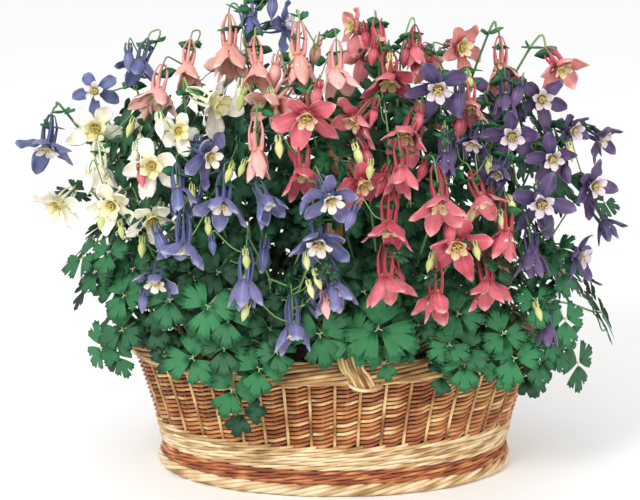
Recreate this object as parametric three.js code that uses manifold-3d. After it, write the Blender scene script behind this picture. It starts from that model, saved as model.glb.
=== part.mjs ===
// A willow basket planted with columbines (Aquilegia) in five colours.
// Millimetres, +Z up. The origin is the centre of the basket's flat underside;
// X runs along the oval's long axis and -Y is the side it is shown from.
import * as THREE from "three";
import { mergeVertices } from "three/addons/utils/BufferGeometryUtils.js";
import Module from "manifold-3d";

const wasm = await Module();
wasm.setup();

// ---- Driving dimensions -------------------------------------------------

const GAP = 0.4; // clear space between pieces that touch
const FINE = 0.05; // scraps of surface below this size are merged into their neighbours
const OVAL = 0.58; // the oval's width over its length
const STAKES = 32; // upright rods round the wall
const SOIL_TOP = 116;
const RIM_TOP = 145;
const WALL = 8; // thickness of the woven wall
const HANDLE_TOP = 372;

// Sections of the two plaited borders, each point [half length, height].
const FOOT_SECTION = [[173, 0], [181, 0], [185, 9], [181, 22.5], [173, 22.5]];
const FOOT_TWIST = 1.2; // how far the plait stands in and out
const RIM_TWIST = 1.6;
const RIM_SECTION = [[199, 119.5], [209, 119.5], [214, 131], [207, 145], [199, 143]];
const WALL_FLOOR = 9; // top of the woven base, inside
const WALL_FOOT = 24;
const WALL_TOP = 119;
const WALL_LOW = 180; // half length at the waist above the foot
const WALL_HIGH = 206; // half length under the rim
const WALL_ROWS = 4;
const WEAVE = 1.5; // how far the weave stands in and out

// The plants' outer shape is half an ellipsoid over the rim.
const DOME = { x: 290, y: 168, z: 205, middle: 250 };

const COLOURS = {
  white: 0xf3efe0,
  blue: 0x5d66b5,
  pink: 0xe88f86,
  red: 0xdb4a5b,
  purple: 0x5b4495,
  leaf: 0x1f7a4c,
  willow: 0xc98a4e,
  buff: 0xe0bb7c,
  bark: 0x9c5a34,
  liner: 0x2a2a28,
  soil: 0x3a2a20,
};

// ---- Small tools --------------------------------------------------------

const rad = THREE.MathUtils.degToRad;
const V = (x, y, z) => new THREE.Vector3(x, y, z);
// A fixed scatter between 0 and 1, the same on every run.
const scatter = (i, k) => {
  const s = Math.sin(i * 12.9898 + k * 78.233) * 43758.5453;
  return s - Math.floor(s);
};

// A closed skin grown face by face: points, triangles, and shoots drawn out of a face.
class Skin {
  points = [];
  triangles = [];

  point(v) {
    return this.points.push(v) - 1;
  }

  face(...ids) {
    for (let i = 1; i < ids.length - 1; i++) this.triangles.push(ids[0], ids[i], ids[i + 1]);
  }

  // Draws a face out through rings of points to a tip or a flat end. A ring may have fewer
  // points than the one before it.
  shoot(face, rings, tip) {
    let last = face;
    for (const ring of rings) {
      const next = ring.map((v) => this.point(v));
      const across = (i) => next[Math.round((i * next.length) / last.length) % next.length];
      last.forEach((id, i) => {
        const end = last[(i + 1) % last.length];
        this.face(id, end, across(i + 1));
        if (across(i) !== across(i + 1)) this.face(id, across(i + 1), across(i));
      });
      last = next;
    }
    if (!tip && last.length > 2) this.face(...last);
    else if (!tip) return;
    else {
      const end = this.point(tip);
      last.forEach((id, i) => this.face(id, last[(i + 1) % last.length], end));
    }
  }

  geometry(matrix) {
    const g = new THREE.BufferGeometry();
    g.setAttribute("position", new THREE.Float32BufferAttribute(this.points.flatMap((p) => p.toArray()), 3));
    g.setIndex(this.triangles);
    return matrix ? g.applyMatrix4(matrix) : g;
  }
}

// Joins rings of equal length, first and last closed to their middles.
function lathed(rings) {
  const skin = new Skin();
  const n = rings[0].length;
  const first = rings[0].map((v) => skin.point(v));
  const middle = (ring) => ring.reduce((s, v) => s.add(v), V(0, 0, 0)).divideScalar(n);
  const start = skin.point(middle(rings[0]));
  first.forEach((id, i) => skin.face(first[(i + 1) % n], id, start));
  skin.shoot(first, rings.slice(1), middle(rings[rings.length - 1]));
  return skin.geometry();
}

function solidOf(geometry) {
  const bare = geometry.clone();
  bare.deleteAttribute("normal");
  bare.deleteAttribute("uv");
  const g = mergeVertices(bare, 1e-4);
  return new wasm.Manifold(
    new wasm.Mesh({
      numProp: 3,
      vertProperties: new Float32Array(g.attributes.position.array),
      triVerts: new Uint32Array(g.index.array),
    }),
  );
}

function geometryOf(solid) {
  const m = solid.getMesh();
  const g = new THREE.BufferGeometry();
  g.setAttribute("position", new THREE.BufferAttribute(new Float32Array(m.vertProperties), 3));
  g.setIndex([...m.triVerts]);
  return g;
}

// The body that is left when loose scraps are dropped.
const largest = (solid) => solid.decompose().sort((a, b) => b.volume() - a.volume())[0];

// ---- Basket -------------------------------------------------------------

// One turn of the oval at a height, moved in and out by shape(i).
function oval(z, half, sides, shape = () => 0) {
  return Array.from({ length: sides }, (_, i) => {
    const a = (i / sides) * 2 * Math.PI;
    const r = half + shape(i);
    return V(r * Math.cos(a), (r - half * (1 - OVAL)) * Math.sin(a), z);
  });
}

const wallHalf = (z) => {
  const t = (z - WALL_FOOT) / (WALL_TOP - WALL_FOOT);
  return WALL_LOW + (WALL_HIGH - WALL_LOW) * t ** 1.25;
};

// The woven wall and base: one shell, whose outside stands in and out like the weave.
function wall() {
  const outside = Array.from({ length: WALL_ROWS + 1 }, (_, row) => {
    const z = WALL_FOOT + ((WALL_TOP - WALL_FOOT) * row) / WALL_ROWS;
    const edge = row === 0 || row === WALL_ROWS;
    return oval(z, wallHalf(z), STAKES, (i) => (edge ? 0 : (i + row) % 2 ? WEAVE : -WEAVE));
  });
  return lathed([
    oval(0, 150, STAKES),
    oval(0, WALL_LOW - WALL, STAKES),
    oval(WALL_FOOT - 1, WALL_LOW - WALL, STAKES),
    ...outside,
    oval(WALL_TOP, WALL_HIGH - WALL, STAKES),
    oval(WALL_FLOOR, WALL_LOW - 2 * WALL, STAKES),
    oval(WALL_FLOOR, 120, STAKES),
  ]);
}

// A border is a ring of rods round the oval, with a rope-like twist in its section.
function border(section, twist) {
  const skin = new Skin();
  const n = section.length;
  const rings = Array.from({ length: STAKES }, (_, i) => {
    const a = (i / STAKES) * 2 * Math.PI;
    return section.map(([half, z], k) => {
      const r = half + ((i + k) % 2 ? twist : 0);
      return skin.point(V(r * Math.cos(a), (r - half * (1 - OVAL)) * Math.sin(a), z));
    });
  });
  rings.forEach((ring, i) => {
    const next = rings[(i + 1) % STAKES];
    for (let k = 0; k < n; k++) {
      const l = (k + 1) % n;
      skin.face(ring[k], next[k], next[l], ring[l]);
    }
  });
  return skin.geometry();
}

const BOW = 8.3; // radius of the handle's bundle of rods
const BOW_FOOT = 2; // half the thickness of its feet, flat against the rim
const BOW_FOOT_WIDE = 13; // and half their width
const BOW_LEAN = 9; // how far each foot stands off the middle of the side
const BOW_STEPS = 14;

// The bow: a bundle of rods whose feet lie flat on the outside of the rim, and which arches
// over the plants.
function handle() {
  const outer = RIM_SECTION[2][0] * OVAL + GAP + BOW_FOOT;
  const rise = RIM_TOP + 9;
  const arch = Array.from({ length: BOW_STEPS - 1 }, (_, i) => {
    const a = ((i + 1) / BOW_STEPS) * Math.PI;
    return V(0, -(outer - 12) * Math.cos(a), rise + (HANDLE_TOP - rise) * Math.sin(a) ** 0.8);
  });
  const foot = (s) => [V(-s * BOW_LEAN, s * outer, WALL_TOP - 2), V(-s * BOW_LEAN, s * outer, RIM_TOP + 3)];
  const path = [...foot(-1), ...arch, ...foot(1).reverse()];
  const rings = path.map((p, i) => {
    const flat = i < 2 || i > path.length - 3;
    const along = V().subVectors(path[Math.min(i + 1, path.length - 1)], path[Math.max(i - 1, 0)]);
    const out = flat ? V(0, i < 2 ? -1 : 1, 0) : V().crossVectors(V(1, 0, 0), along).normalize();
    const wide = flat ? BOW_FOOT_WIDE : BOW;
    const thick = flat ? BOW_FOOT : BOW;
    return Array.from({ length: 6 }, (_, k) => {
      const a = rad(60 * k + 30);
      const corner = V(wide * Math.cos(a), 0, 0).addScaledVector(out, thick * Math.sin(a));
      return corner.add(p);
    });
  });
  return lathed(rings.reverse());
}

const LINER_SIDES = 16;
const LINER = 1.4; // its thickness
const LINER_FLOOR = WALL_FLOOR + GAP;
const LINER_TOP = WALL_TOP + 5;

// Half length of the liner's outside, which stands clear of the sloping wall.
const linerHalf = (z) => {
  const low = WALL_LOW - 2 * WALL - 3;
  const high = WALL_HIGH - WALL - 3;
  return low + ((high - low) * (z - LINER_FLOOR)) / (LINER_TOP - LINER_FLOOR);
};

function liner() {
  const bottom = LINER_FLOOR + LINER;
  return lathed([
    oval(LINER_FLOOR, 120, LINER_SIDES),
    oval(LINER_FLOOR, linerHalf(LINER_FLOOR), LINER_SIDES),
    oval(LINER_TOP, linerHalf(LINER_TOP), LINER_SIDES),
    oval(LINER_TOP, linerHalf(LINER_TOP) - LINER, LINER_SIDES),
    oval(bottom, linerHalf(bottom) - LINER, LINER_SIDES),
    oval(bottom, 120, LINER_SIDES),
  ]);
}

const CROWN = 14; // radius of a plant's crown, which stands in a plain hole
const CROWN_DEEP = 26;

function soil(crowns) {
  const inside = (z) => linerHalf(z) - LINER - (2 * GAP) / OVAL;
  const bottom = LINER_FLOOR + LINER + GAP;
  const edge = SOIL_TOP - 3;
  let bed = solidOf(
    lathed([
      oval(bottom, 90, LINER_SIDES),
      oval(bottom, inside(bottom), LINER_SIDES),
      oval(edge, inside(edge), LINER_SIDES),
      oval(SOIL_TOP, inside(edge) * 0.9, LINER_SIDES),
    ]),
  );
  for (const [x, y] of crowns) {
    const hole = new THREE.CylinderGeometry(CROWN + GAP, CROWN + GAP, CROWN_DEEP * 2, 6);
    hole.rotateX(Math.PI / 2).translate(x, y, SOIL_TOP);
    bed = bed.subtract(solidOf(hole));
  }
  return bed;
}

// ---- Blooms -------------------------------------------------------------

const HUB = 5.2; // radius of the part where sepals, petals and spurs meet
const SEPAL = 27; // length of a sepal
const SEPAL_WIDE = 9.2; // half its width
const CUP = 15; // length of a petal's cup
const SPUR = 30; // length of a petal's spur
const FACE = 8; // from a bloom's hub forward to its middle
const BELL = 42; // sepals that lean forward further than this hide the cups

const round = (a, r, z) => V(r * Math.cos(a), r * Math.sin(a), z);

// One bloom, facing +Z: five sepals between five petals, each petal a cup in front and a spur
// behind. tilt is how far the sepals lean forward, in degrees; grow swells the bloom; stalk is a
// path from its back.
function bloomSkin(tilt, grow, stalk) {
  const skin = new Skin();
  const deep = 1.6;
  const turn = rad(72);
  const ring = (r, z, offset) => [0, 1, 2, 3, 4].map((k) => skin.point(round(turn * (k + offset), r, z)));
  const back = ring(HUB, -deep, 0);
  const front = ring(HUB, deep, 0);
  const innerFront = ring(HUB * 0.55, deep + 0.5, 0.5);
  const innerBack = ring(HUB * 0.55, -deep - 0.5, 0.5);
  const stamens = skin.point(V(0, 0, tilt > BELL ? CUP * 0.6 : CUP + 2));
  for (let k = 0; k < 5; k++) {
    const next = (k + 1) % 5;
    const before = (k + 4) % 5;

    const out = turn * (k + 0.5);
    const side = V(-Math.sin(out), Math.cos(out), 0);
    const along = (angle) => round(out, Math.cos(rad(angle)), Math.sin(rad(angle)));
    const mid = round(out, HUB * 0.8, 0).addScaledVector(along(tilt + 8), SEPAL * 0.5);
    const tip = mid.clone().addScaledVector(along(tilt - 14), SEPAL * 0.55 + grow);
    const up = V().crossVectors(along(tilt), side);
    const room = Math.hypot(mid.x, mid.y) * Math.tan(rad(36)) * 0.88;
    const wide = Math.min(SEPAL_WIDE, room) + grow / 2;
    const edge = (s) => mid.clone().addScaledVector(side, s * wide).addScaledVector(up, -0.7 - grow);
    const keel = mid.clone().addScaledVector(up, 0.9 + grow);
    skin.shoot([back[k], back[next], front[next], front[k]], [[edge(-1), edge(1), keel]], tip);
    skin.face(front[k], front[next], innerFront[k]);
    skin.face(back[next], back[k], innerBack[k]);
    skin.face(innerFront[k], innerFront[next], stamens);

    const petal = turn * k;
    const cup = [innerFront[k], innerFront[before], front[k]];
    const lip = (turned) => round(petal + turned, 12 + grow, CUP + grow);
    skin.shoot(cup, tilt > BELL ? [] : [[lip(0.5), lip(-0.5)]]);
    skin.shoot([innerBack[k], back[k], innerBack[before]], [], round(petal, 8 + grow, -SPUR - grow));
  }
  const rear = [...innerBack].reverse();
  if (!stalk) skin.face(...rear);
  else {
    const offsets = [324, 216, 72].map((angle) => round(rad(angle), 1, 0));
    skin.shoot(rear, ringsAlong(stalk, offsets, () => STALK + grow).slice(1));
  }
  return skin;
}

// The blooms, one row to a node: a bloom by itself, or a spray of two or three on one stalk.
// Each bloom is [x, z, yaw, pitch, tilt, size]: where it shows from the front, the way it faces
// (yaw 0 is -Y and 90 is +X; a pitch below 0 nods), how far its sepals lean forward, and its
// size against a bloom 60 mm wide.
const BLOOMS = {
  white: [
    [[-236, 361, -5, 5, 5, 1], [-224, 322, 15, -55, 40, 0.9]],
    [[-276, 285, -30, -20, 15, 0.9]],
    [[-208, 304, -15, -10, 15, 0.95], [-176, 290, 20, -20, 15, 0.85]],
    [[-172, 344, -5, 5, 10, 0.95], [-148, 374, 20, 10, 20, 0.75]],
    [[-114, 397, 55, -15, 20, 1.05]],
  ],
  indigo: [
    [[-240, 392, -10, 12, 5, 0.8], [-194, 417, -20, -50, 20, 0.9]],
    [[-290, 332, -10, -55, 10, 1.05]],
  ],
  blue: [
    [[-117, 353, 40, -5, 15, 0.95], [-103, 314, 0, -50, 20, 1], [-150, 322, 10, -60, 60, 0.85]],
    [[-153, 277, 0, -70, 20, 1], [-172, 232, -5, -35, 25, 0.9]],
    [[-68, 318, 30, -40, 60, 0.85]],
    [[-10, 326, 20, -30, 15, 1], [-12, 283, 0, -30, 20, 1.05]],
    [[-2, 243, 30, -55, 60, 0.95]],
    [[-86, 238, -10, -75, 60, 1], [-40, 192, 5, -60, 45, 1]],
  ],
  pink: [
    [[-172, 400, -10, -45, 30, 1], [-140, 424, -10, -60, 60, 0.85]],
    [[-109, 436, 0, -65, 35, 1.05], [-74, 428, 10, -60, 60, 0.9]],
    [[-30, 434, 0, -70, 55, 1.05], [12, 421, 0, -60, 35, 1]],
    [[-53, 398, -35, -30, 20, 1.05], [-71, 358, 0, -80, 60, 1]],
  ],
  sky: [[[-46, 460, 75, 10, 10, 0.9], [-82, 462, 0, -60, 60, 0.8]]],
  red: [
    [[-22, 384, 0, -25, 15, 1.1], [-22, 344, 0, -60, 40, 1.05]],
    [[24, 386, -40, -30, 20, 1], [72, 340, 10, -60, 60, 0.95]],
    [[78, 440, 0, -50, 60, 0.85], [52, 414, 0, -45, 12, 1.1]],
    [[60, 374, -30, -40, 20, 1.05]],
    [[90, 318, 10, -50, 25, 1.1], [130, 322, 30, -50, 25, 0.9]],
    [[32, 330, 25, -25, 15, 0.95], [56, 294, 0, -65, 30, 1.05]],
    [[50, 252, 0, -70, 25, 1.05]],
    [[108, 284, 0, -15, 10, 1.1], [162, 280, 0, -70, 60, 1]],
    [[100, 238, 0, -60, 40, 1], [142, 234, 15, -60, 30, 1]],
  ],
  coral: [
    [[17, 457, -60, 15, 20, 0.85], [44, 448, 10, -40, 60, 0.85]],
    [[127, 436, 30, 5, 20, 0.95], [118, 398, 0, -55, 35, 0.9]],
    [[163, 418, 0, -60, 60, 0.95]],
    [[226, 414, 30, -30, 20, 0.95]],
  ],
  purple: [
    [[90, 404, 0, -15, 12, 1.05], [98, 362, 0, -60, 60, 0.8]],
    [[160, 394, 0, -55, 60, 0.85], [205, 390, 5, 5, 8, 0.95]],
    [[132, 360, -20, -40, 20, 0.8], [166, 358, 0, 0, 8, 1]],
    [[236, 360, 40, -5, 15, 0.85], [204, 344, 10, -10, 10, 0.9]],
    [[146, 338, -30, -30, 60, 0.8], [198, 306, 0, -5, 12, 1.05]],
    [[256, 309, 35, 0, 10, 0.95], [270, 343, 55, -20, 25, 0.85]],
    [[242, 247, 55, -10, 15, 0.95], [266, 272, 50, -50, 60, 0.8]],
    [[208, 178, 0, -80, 60, 0.8]],
    [[188, 256, 10, -60, 60, 0.9]],
  ],
};

// The same for the far side, where each plant has one spray.
const FAR_BLOOMS = {
  white: [[-200, 338, 195, -15, 15, 1]],
  blue: [[-136, 290, 185, -40, 25, 1], [-78, 330, 175, -20, 15, 1]],
  pink: [[-104, 402, 180, -20, 25, 1], [-34, 384, 175, -45, 60, 1]],
  red: [[38, 316, 170, -30, 20, 1], [96, 342, 170, -20, 20, 1]],
  coral: [[32, 408, 180, -20, 20, 1], [98, 410, 165, -30, 60, 1]],
  purple: [[168, 366, 165, -15, 12, 1], [212, 306, 155, -25, 60, 1]],
};

// The crown of each plant in the soil, [x, y].
const CROWNS = {
  white: [-128, -30],
  indigo: [-112, 34],
  blue: [-62, -52],
  pink: [-50, 34],
  sky: [-22, 72],
  red: [52, -52],
  coral: [48, 44],
  purple: [126, -6],
};

const TINTS = {
  white: COLOURS.white,
  indigo: COLOURS.blue,
  blue: COLOURS.blue,
  pink: COLOURS.pink,
  sky: COLOURS.blue,
  red: COLOURS.red,
  coral: COLOURS.red,
  purple: COLOURS.purple,
};

// Depth of the plants' outer shape at a place seen from the front.
const domeDepth = (x, z) => {
  const outside = (x / DOME.x) ** 2 + ((z - DOME.middle) / DOME.z) ** 2;
  return DOME.y * Math.sqrt(Math.max(1 - outside, 0));
};

// The way that a yaw and a pitch point: yaw 0 is -Y.
const facingOf = (yaw, pitch) => round(rad(yaw - 90), Math.cos(rad(pitch)), Math.sin(rad(pitch)));

// Sets every bloom on the outer shape, then eases blooms apart that are too close, mostly in depth.
function placeBlooms() {
  const blooms = [];
  for (const [plant, nodes] of Object.entries(BLOOMS)) {
    const all = FAR_BLOOMS[plant] ? [...nodes, FAR_BLOOMS[plant]] : nodes;
    all.forEach((row, node) => {
      for (const [x, z, yaw, pitch, tilt, size] of row) {
        const y = domeDepth(x, z) * (yaw > 100 ? 1 : -1);
        const reach = (tilt > BELL ? 20 : 25) * size;
        blooms.push({ plant, node, middle: V(x, y, z), facing: facingOf(yaw, pitch), tilt, size, reach });
      }
    });
  }
  const ease = V(0.4, 1, 0.4);
  for (let turn = 0; turn < 60; turn++) {
    blooms.forEach((a, i) => {
      for (const b of blooms.slice(i + 1)) {
        const apart = V().subVectors(b.middle, a.middle);
        const short = a.reach + b.reach - apart.length();
        if (short <= 0) continue;
        apart.normalize().multiply(ease).multiplyScalar(short * 0.5);
        a.middle.sub(apart);
        b.middle.add(apart);
      }
    });
  }
  blooms.forEach((bloom, i) => {
    bloom.hub = bloom.middle.clone().addScaledVector(bloom.facing, -FACE * bloom.size);
    bloom.roll = rad(72 * scatter(i, 3));
  });
  return blooms;
}

function bloomSolid(bloom, grow, stalk) {
  const turn = new THREE.Quaternion().setFromUnitVectors(V(0, 0, 1), bloom.facing);
  turn.multiply(new THREE.Quaternion().setFromAxisAngle(V(0, 0, 1), bloom.roll));
  const frame = new THREE.Matrix4().compose(bloom.hub, turn, V(1, 1, 1).multiplyScalar(bloom.size));
  const back = frame.clone().invert();
  const path = stalk && stalk.map((p) => p.clone().applyMatrix4(back));
  return solidOf(bloomSkin(bloom.tilt, grow, path).geometry(frame));
}

// ---- Stalks and leaves --------------------------------------------------

const SIDES = 3; // of every stalk
const STALK = 1.5; // radius of a stalk under its bloom
const STALK_FOOT = 1.9; // and at the crown
const PETIOLE = 1.3;

// Rings of three points round a path, carried along without twisting, from the offsets of the first.
function ringsAlong(path, offsets, radiusAt) {
  const end = path.length - 1;
  const leg = (i) => V().subVectors(path[i + 1], path[i]).normalize();
  const heading = (i) => leg(Math.min(i, end - 1)).add(leg(Math.max(i - 1, 0))).normalize();
  let last = offsets.map((o) => o.clone().addScaledVector(heading(0), -o.dot(heading(0))).normalize());
  return path.map((p, i) => {
    const turn = new THREE.Quaternion().setFromUnitVectors(heading(Math.max(i - 1, 0)), heading(i));
    last = last.map((o) => o.clone().applyQuaternion(turn));
    return last.map((o) => p.clone().addScaledVector(o, radiusAt(i / end)));
  });
}

function stalkSolid(path, from, to, grow) {
  const d = V().subVectors(path[1], path[0]).normalize();
  const across = V().crossVectors(d, Math.abs(d.z) < 0.9 ? V(0, 0, 1) : V(1, 0, 0)).normalize();
  const sides = Array.from({ length: SIDES }, (_, k) => (2 * Math.PI * k) / SIDES);
  const offsets = sides.map((a) => across.clone().applyAxisAngle(d, a));
  const rings = ringsAlong(path, offsets, (t) => from + (to - from) * t + grow);
  const skin = new Skin();
  const first = rings[0].map((v) => skin.point(v));
  skin.face(...[...first].reverse());
  skin.shoot(first, rings.slice(1));
  return solidOf(skin.geometry());
}

// Outline of each of a leaf's three leaflets, as [angle from its middle, reach]: three lobes with
// cuts between them. A small leaf has the lobes alone.
const LEAFLET = [[-57, 0.15], [-38, 0.86], [-19, 0.72], [0, 1], [19, 0.72], [38, 0.86]];
const SMALL_LEAFLET = [[-57, 0.15], [-34, 0.88], [0, 1], [34, 0.88]];
const SMALL = 0.7; // leaves of this size or less are small
const LEAFLETS = [0, 114, 246];
const LEAF = 40; // reach of a leaf of size 1
const LEAF_THICK = 1.5;

// A leaf on its stalk: one thin arched blade, whose lower side draws out into the petiole.
function leafSolid(leaf, path, grow) {
  const skin = new Skin();
  const { hub, tipward, normal, size } = leaf;
  const side = V().crossVectors(tipward, normal);
  const at = (angle, r, lift) => {
    const a = rad(angle);
    return hub
      .clone()
      .addScaledVector(tipward, r * Math.cos(a))
      .addScaledVector(side, -r * Math.sin(a))
      .addScaledVector(normal, lift);
  };
  const reach = LEAF * size * (1 + grow * 0.04);
  const leaflet = size > SMALL && !leaf.plain ? LEAFLET : SMALL_LEAFLET;
  const outline = LEAFLETS.flatMap((turn) =>
    leaflet.map(([angle, r]) => skin.point(at(turn + angle, r * reach, -4 * r * r))),
  );
  const top = skin.point(at(0, 0, LEAF_THICK / 2 + grow));
  const n = leaflet.length;
  const under = LEAFLETS.map((turn) => skin.point(at(turn, PETIOLE, -LEAF_THICK / 2 - grow)));
  outline.forEach((id, i) => {
    const next = outline[(i + 1) % outline.length];
    const j = Math.floor(i / n);
    skin.face(top, id, next);
    skin.face(under[j], next, id);
    if (i % n === n - 1) skin.face(under[j], under[(j + 1) % 3], next);
  });
  const mouth = [0, 2, 1];
  const offsets = mouth.map((k) => at(LEAFLETS[k], 1, 0).sub(hub));
  const rings = ringsAlong(path, offsets, (t) => PETIOLE * (1 + 0.2 * t) + grow);
  skin.shoot(mouth.map((k) => under[k]), rings.slice(1));
  return solidOf(skin.geometry());
}

// Leaves seen from the front, [x, z, yaw, pitch, size, roll], each on the plant whose crown is
// nearest. At a roll of 0 the middle leaflet hangs straight down, and 90 turns it to the right.
const LEAVES = [
  [-221, 251, -35, 30, 0.63, 10], [-250, 237, -60, 25, 0.71, -40], [-235, 228, -45, 20, 0.65, -15],
  [-206, 210, -30, 30, 0.71, -25], [-209, 174, -30, 25, 0.71, -50], [-232, 151, -45, 10, 0.71, -35],
  [-213, 146, -30, 5, 0.6, 30], [-159, 213, -12, 32, 0.81, 0], [-122, 210, -8, 30, 0.84, -10],
  [-103, 198, 0, 30, 0.71, 0], [-138, 156, -12, 30, 0.84, -75], [-107, 169, -5, 30, 0.74, 5],
  [-73, 150, 0, 28, 0.74, -15], [-100, 127, -2, 12, 0.76, -22], [-56, 168, 5, 30, 0.6, 20],
  [-15, 187, 0, 15, 0.87, 5], [17, 180, 0, 35, 0.81, 165], [41, 192, 5, 35, 1.08, 60],
  [47, 158, 5, 20, 0.5, 10], [118, 203, 8, 32, 0.71, 75], [110, 172, 5, 28, 0.62, -60],
  [127, 166, 10, 30, 0.68, 40], [125, 151, 8, 25, 0.71, 0], [163, 178, 15, 30, 0.71, 195],
  [175, 151, 20, 28, 0.79, -20], [161, 139, 20, 20, 0.55, 20], [196, 204, 20, 30, 0.68, 0],
  [227, 181, 40, 25, 0.76, -10], [210, 162, 35, 25, 0.6, 10], [218, 150, 45, 20, 0.66, 30],
  [201, 143, 30, 15, 0.71, -20], [243, 130, 45, 5, 0.79, -5], [223, 232, 35, 25, 0.71, -5],
];
// Leaves in the shade behind them.
const DEEP_LEAVES = [
  [-198, 233, -20, 30, 0.63, 15], [-177, 176, -15, 30, 0.7, 25], [-113, 238, -5, 30, 0.7, -20],
  [-49, 213, 5, 30, 0.6, 165], [-63, 193, 0, 30, 0.55, -10], [28, 221, 10, 30, 0.66, 140],
  [70, 192, 5, 30, 0.66, 80], [92, 212, 5, 30, 0.6, -10],
];
const DEEP = 0.83; // as far out as the others, times this
// Leaves round the far side, at even turns of the oval, and higher up round the middle.
const FAR_LEAVES = 12;
const HIGH_LEAVES = 14;

const LEAF_SPREAD = { x: 272, y: 146 };

function leafPlaces() {
  const front = (rows, share) =>
    rows.map(([x, z, yaw, pitch, size, roll]) => {
      const y = LEAF_SPREAD.y * Math.sqrt(Math.max(1 - (x / LEAF_SPREAD.x) ** 2, 0)) + 6;
      return { hub: V(x, -y * share, z), normal: facingOf(yaw, pitch), size, roll };
    });
  const round = (turn, spread, z, pitch, size) => {
    const hub = V(LEAF_SPREAD.x * spread * Math.cos(turn), LEAF_SPREAD.y * spread * Math.sin(turn), z);
    const yaw = 90 + THREE.MathUtils.radToDeg(Math.atan2(hub.y / 0.6, hub.x));
    return { hub, normal: facingOf(yaw, pitch), size, roll: 60 * (scatter(Math.round(z), 5) - 0.5) };
  };
  const far = Array.from({ length: FAR_LEAVES }, (_, i) => {
    const turn = rad(8 + (164 * i) / (FAR_LEAVES - 1));
    const level = i % 3;
    return round(turn, 1.03 - 0.05 * level, 154 + 36 * level + i / 2, 25 + 8 * level, 0.9);
  });
  const high = Array.from({ length: HIGH_LEAVES }, (_, i) => {
    const z = 185 + (150 * (i + 0.5)) / HIGH_LEAVES;
    const spread = 0.74 * Math.sqrt(1 - ((z - 150) / 290) ** 2);
    return { ...round(2.4 * i, spread, z, 40, 0.85), plain: true }; // 2.4 is the golden angle
  });
  return [...front(LEAVES, 1), ...front(DEEP_LEAVES, DEEP), ...far, ...high];
}

// ---- Assembly -----------------------------------------------------------

const nodes = []; // every node with its name, solid and colour

const push = (name, solid, colour, roughness) => {
  const node = { name, solid, colour, roughness };
  nodes.push(node);
  return node;
};

const overlap = (a, b) => Math.abs(a.intersect(b).volume());

push("basket_wall", solidOf(wall()).simplify(FINE), COLOURS.willow, 0.6);
push("basket_foot_border", solidOf(border(FOOT_SECTION, FOOT_TWIST)), COLOURS.buff, 0.6);
push("basket_rim_border", solidOf(border(RIM_SECTION, RIM_TWIST)), COLOURS.bark, 0.6);
const bow = solidOf(handle());
push("handle", bow, COLOURS.willow, 0.6);
push("liner", solidOf(liner()), COLOURS.liner, 0.5);
push("soil", soil(Object.values(CROWNS)), COLOURS.soil, 0.95);
const fixed = nodes.length;

const blooms = placeBlooms();
for (const bloom of blooms) bloom.around = bloomSolid(bloom, GAP);
const pedicels = []; // swollen copies of the stalks inside sprays
const stalkEnds = []; // where a plant's stalk meets a bloom or spray: plant, points from the end inwards

// A stalk leaves a bloom straight behind it, between the spurs, and then turns to the crown.
const BEHIND = SPUR + 7;
const behind = (bloom, distance) => bloom.hub.clone().addScaledVector(bloom.facing, -distance * bloom.size);

// The points of a stalk behind its bloom. Behind a nodding bloom it turns over in a hook.
const stalkHead = (bloom, crown) => {
  const top = behind(bloom, BEHIND);
  const inward = V(crown.x - top.x, crown.y - top.y, 0).normalize().multiplyScalar(bloom.size);
  if (bloom.facing.z > -0.55) return [behind(bloom, 24), top.addScaledVector(inward, 7)];
  const over = top.clone().addScaledVector(inward, 3);
  return [behind(bloom, 28), over, top.addScaledVector(inward, 11).add(V(0, 0, -4))];
};

// Ways to bend a stalk aside: none, then rings of growing width.
const bend = (i, step) => {
  if (i === 0) return V(0, 0, 0);
  const turn = i * 2.4;
  const r = step * (1 + Math.floor((i - 1) / 6));
  return V(r * Math.cos(turn), r * Math.sin(turn), 0);
};

// Routes from the blooms of a spray to the fork that joins them, with the end that its plant's
// stalk meets. The fork goes where the stalks cross no other bloom.
function sprayRoutes(group, crown) {
  const middle = group.reduce((s, b) => s.add(behind(b, BEHIND)), V(0, 0, 0)).divideScalar(group.length);
  const inward = V().subVectors(crown, middle).normalize();
  let best;
  for (let i = 0; i < 90; i++) {
    const aside = bend(i % 30, 5);
    const lift = 9 * Math.floor(i / 30);
    const fork = (distance) => middle.clone().addScaledVector(inward, distance + lift).add(aside);
    const routes = group.map((b, k) => [b.hub, ...stalkHead(b, crown), fork(25), ...(k ? [] : [fork(30)])]);
    const end = [fork(30 + GAP), fork(52)];
    const tubes = routes.map((route) => stalkSolid([...route.slice(1)], STALK, STALK, 2 * GAP));
    const lead = stalkSolid(end, STALK, STALK, 2 * GAP);
    const meets = (tube, solids) => solids.reduce((sum, o) => sum + overlap(tube, o), 0);
    const obstacles = [...blooms.map((b) => b.around), ...pedicels, bow];
    const cost = [...tubes, lead].reduce((sum, tube) => sum + meets(tube, obstacles), 0);
    if (!best || cost < best.cost) best = { routes, end, tubes, cost };
    if (cost === 0) break;
  }
  pedicels.push(...best.tubes);
  return best;
}

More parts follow.
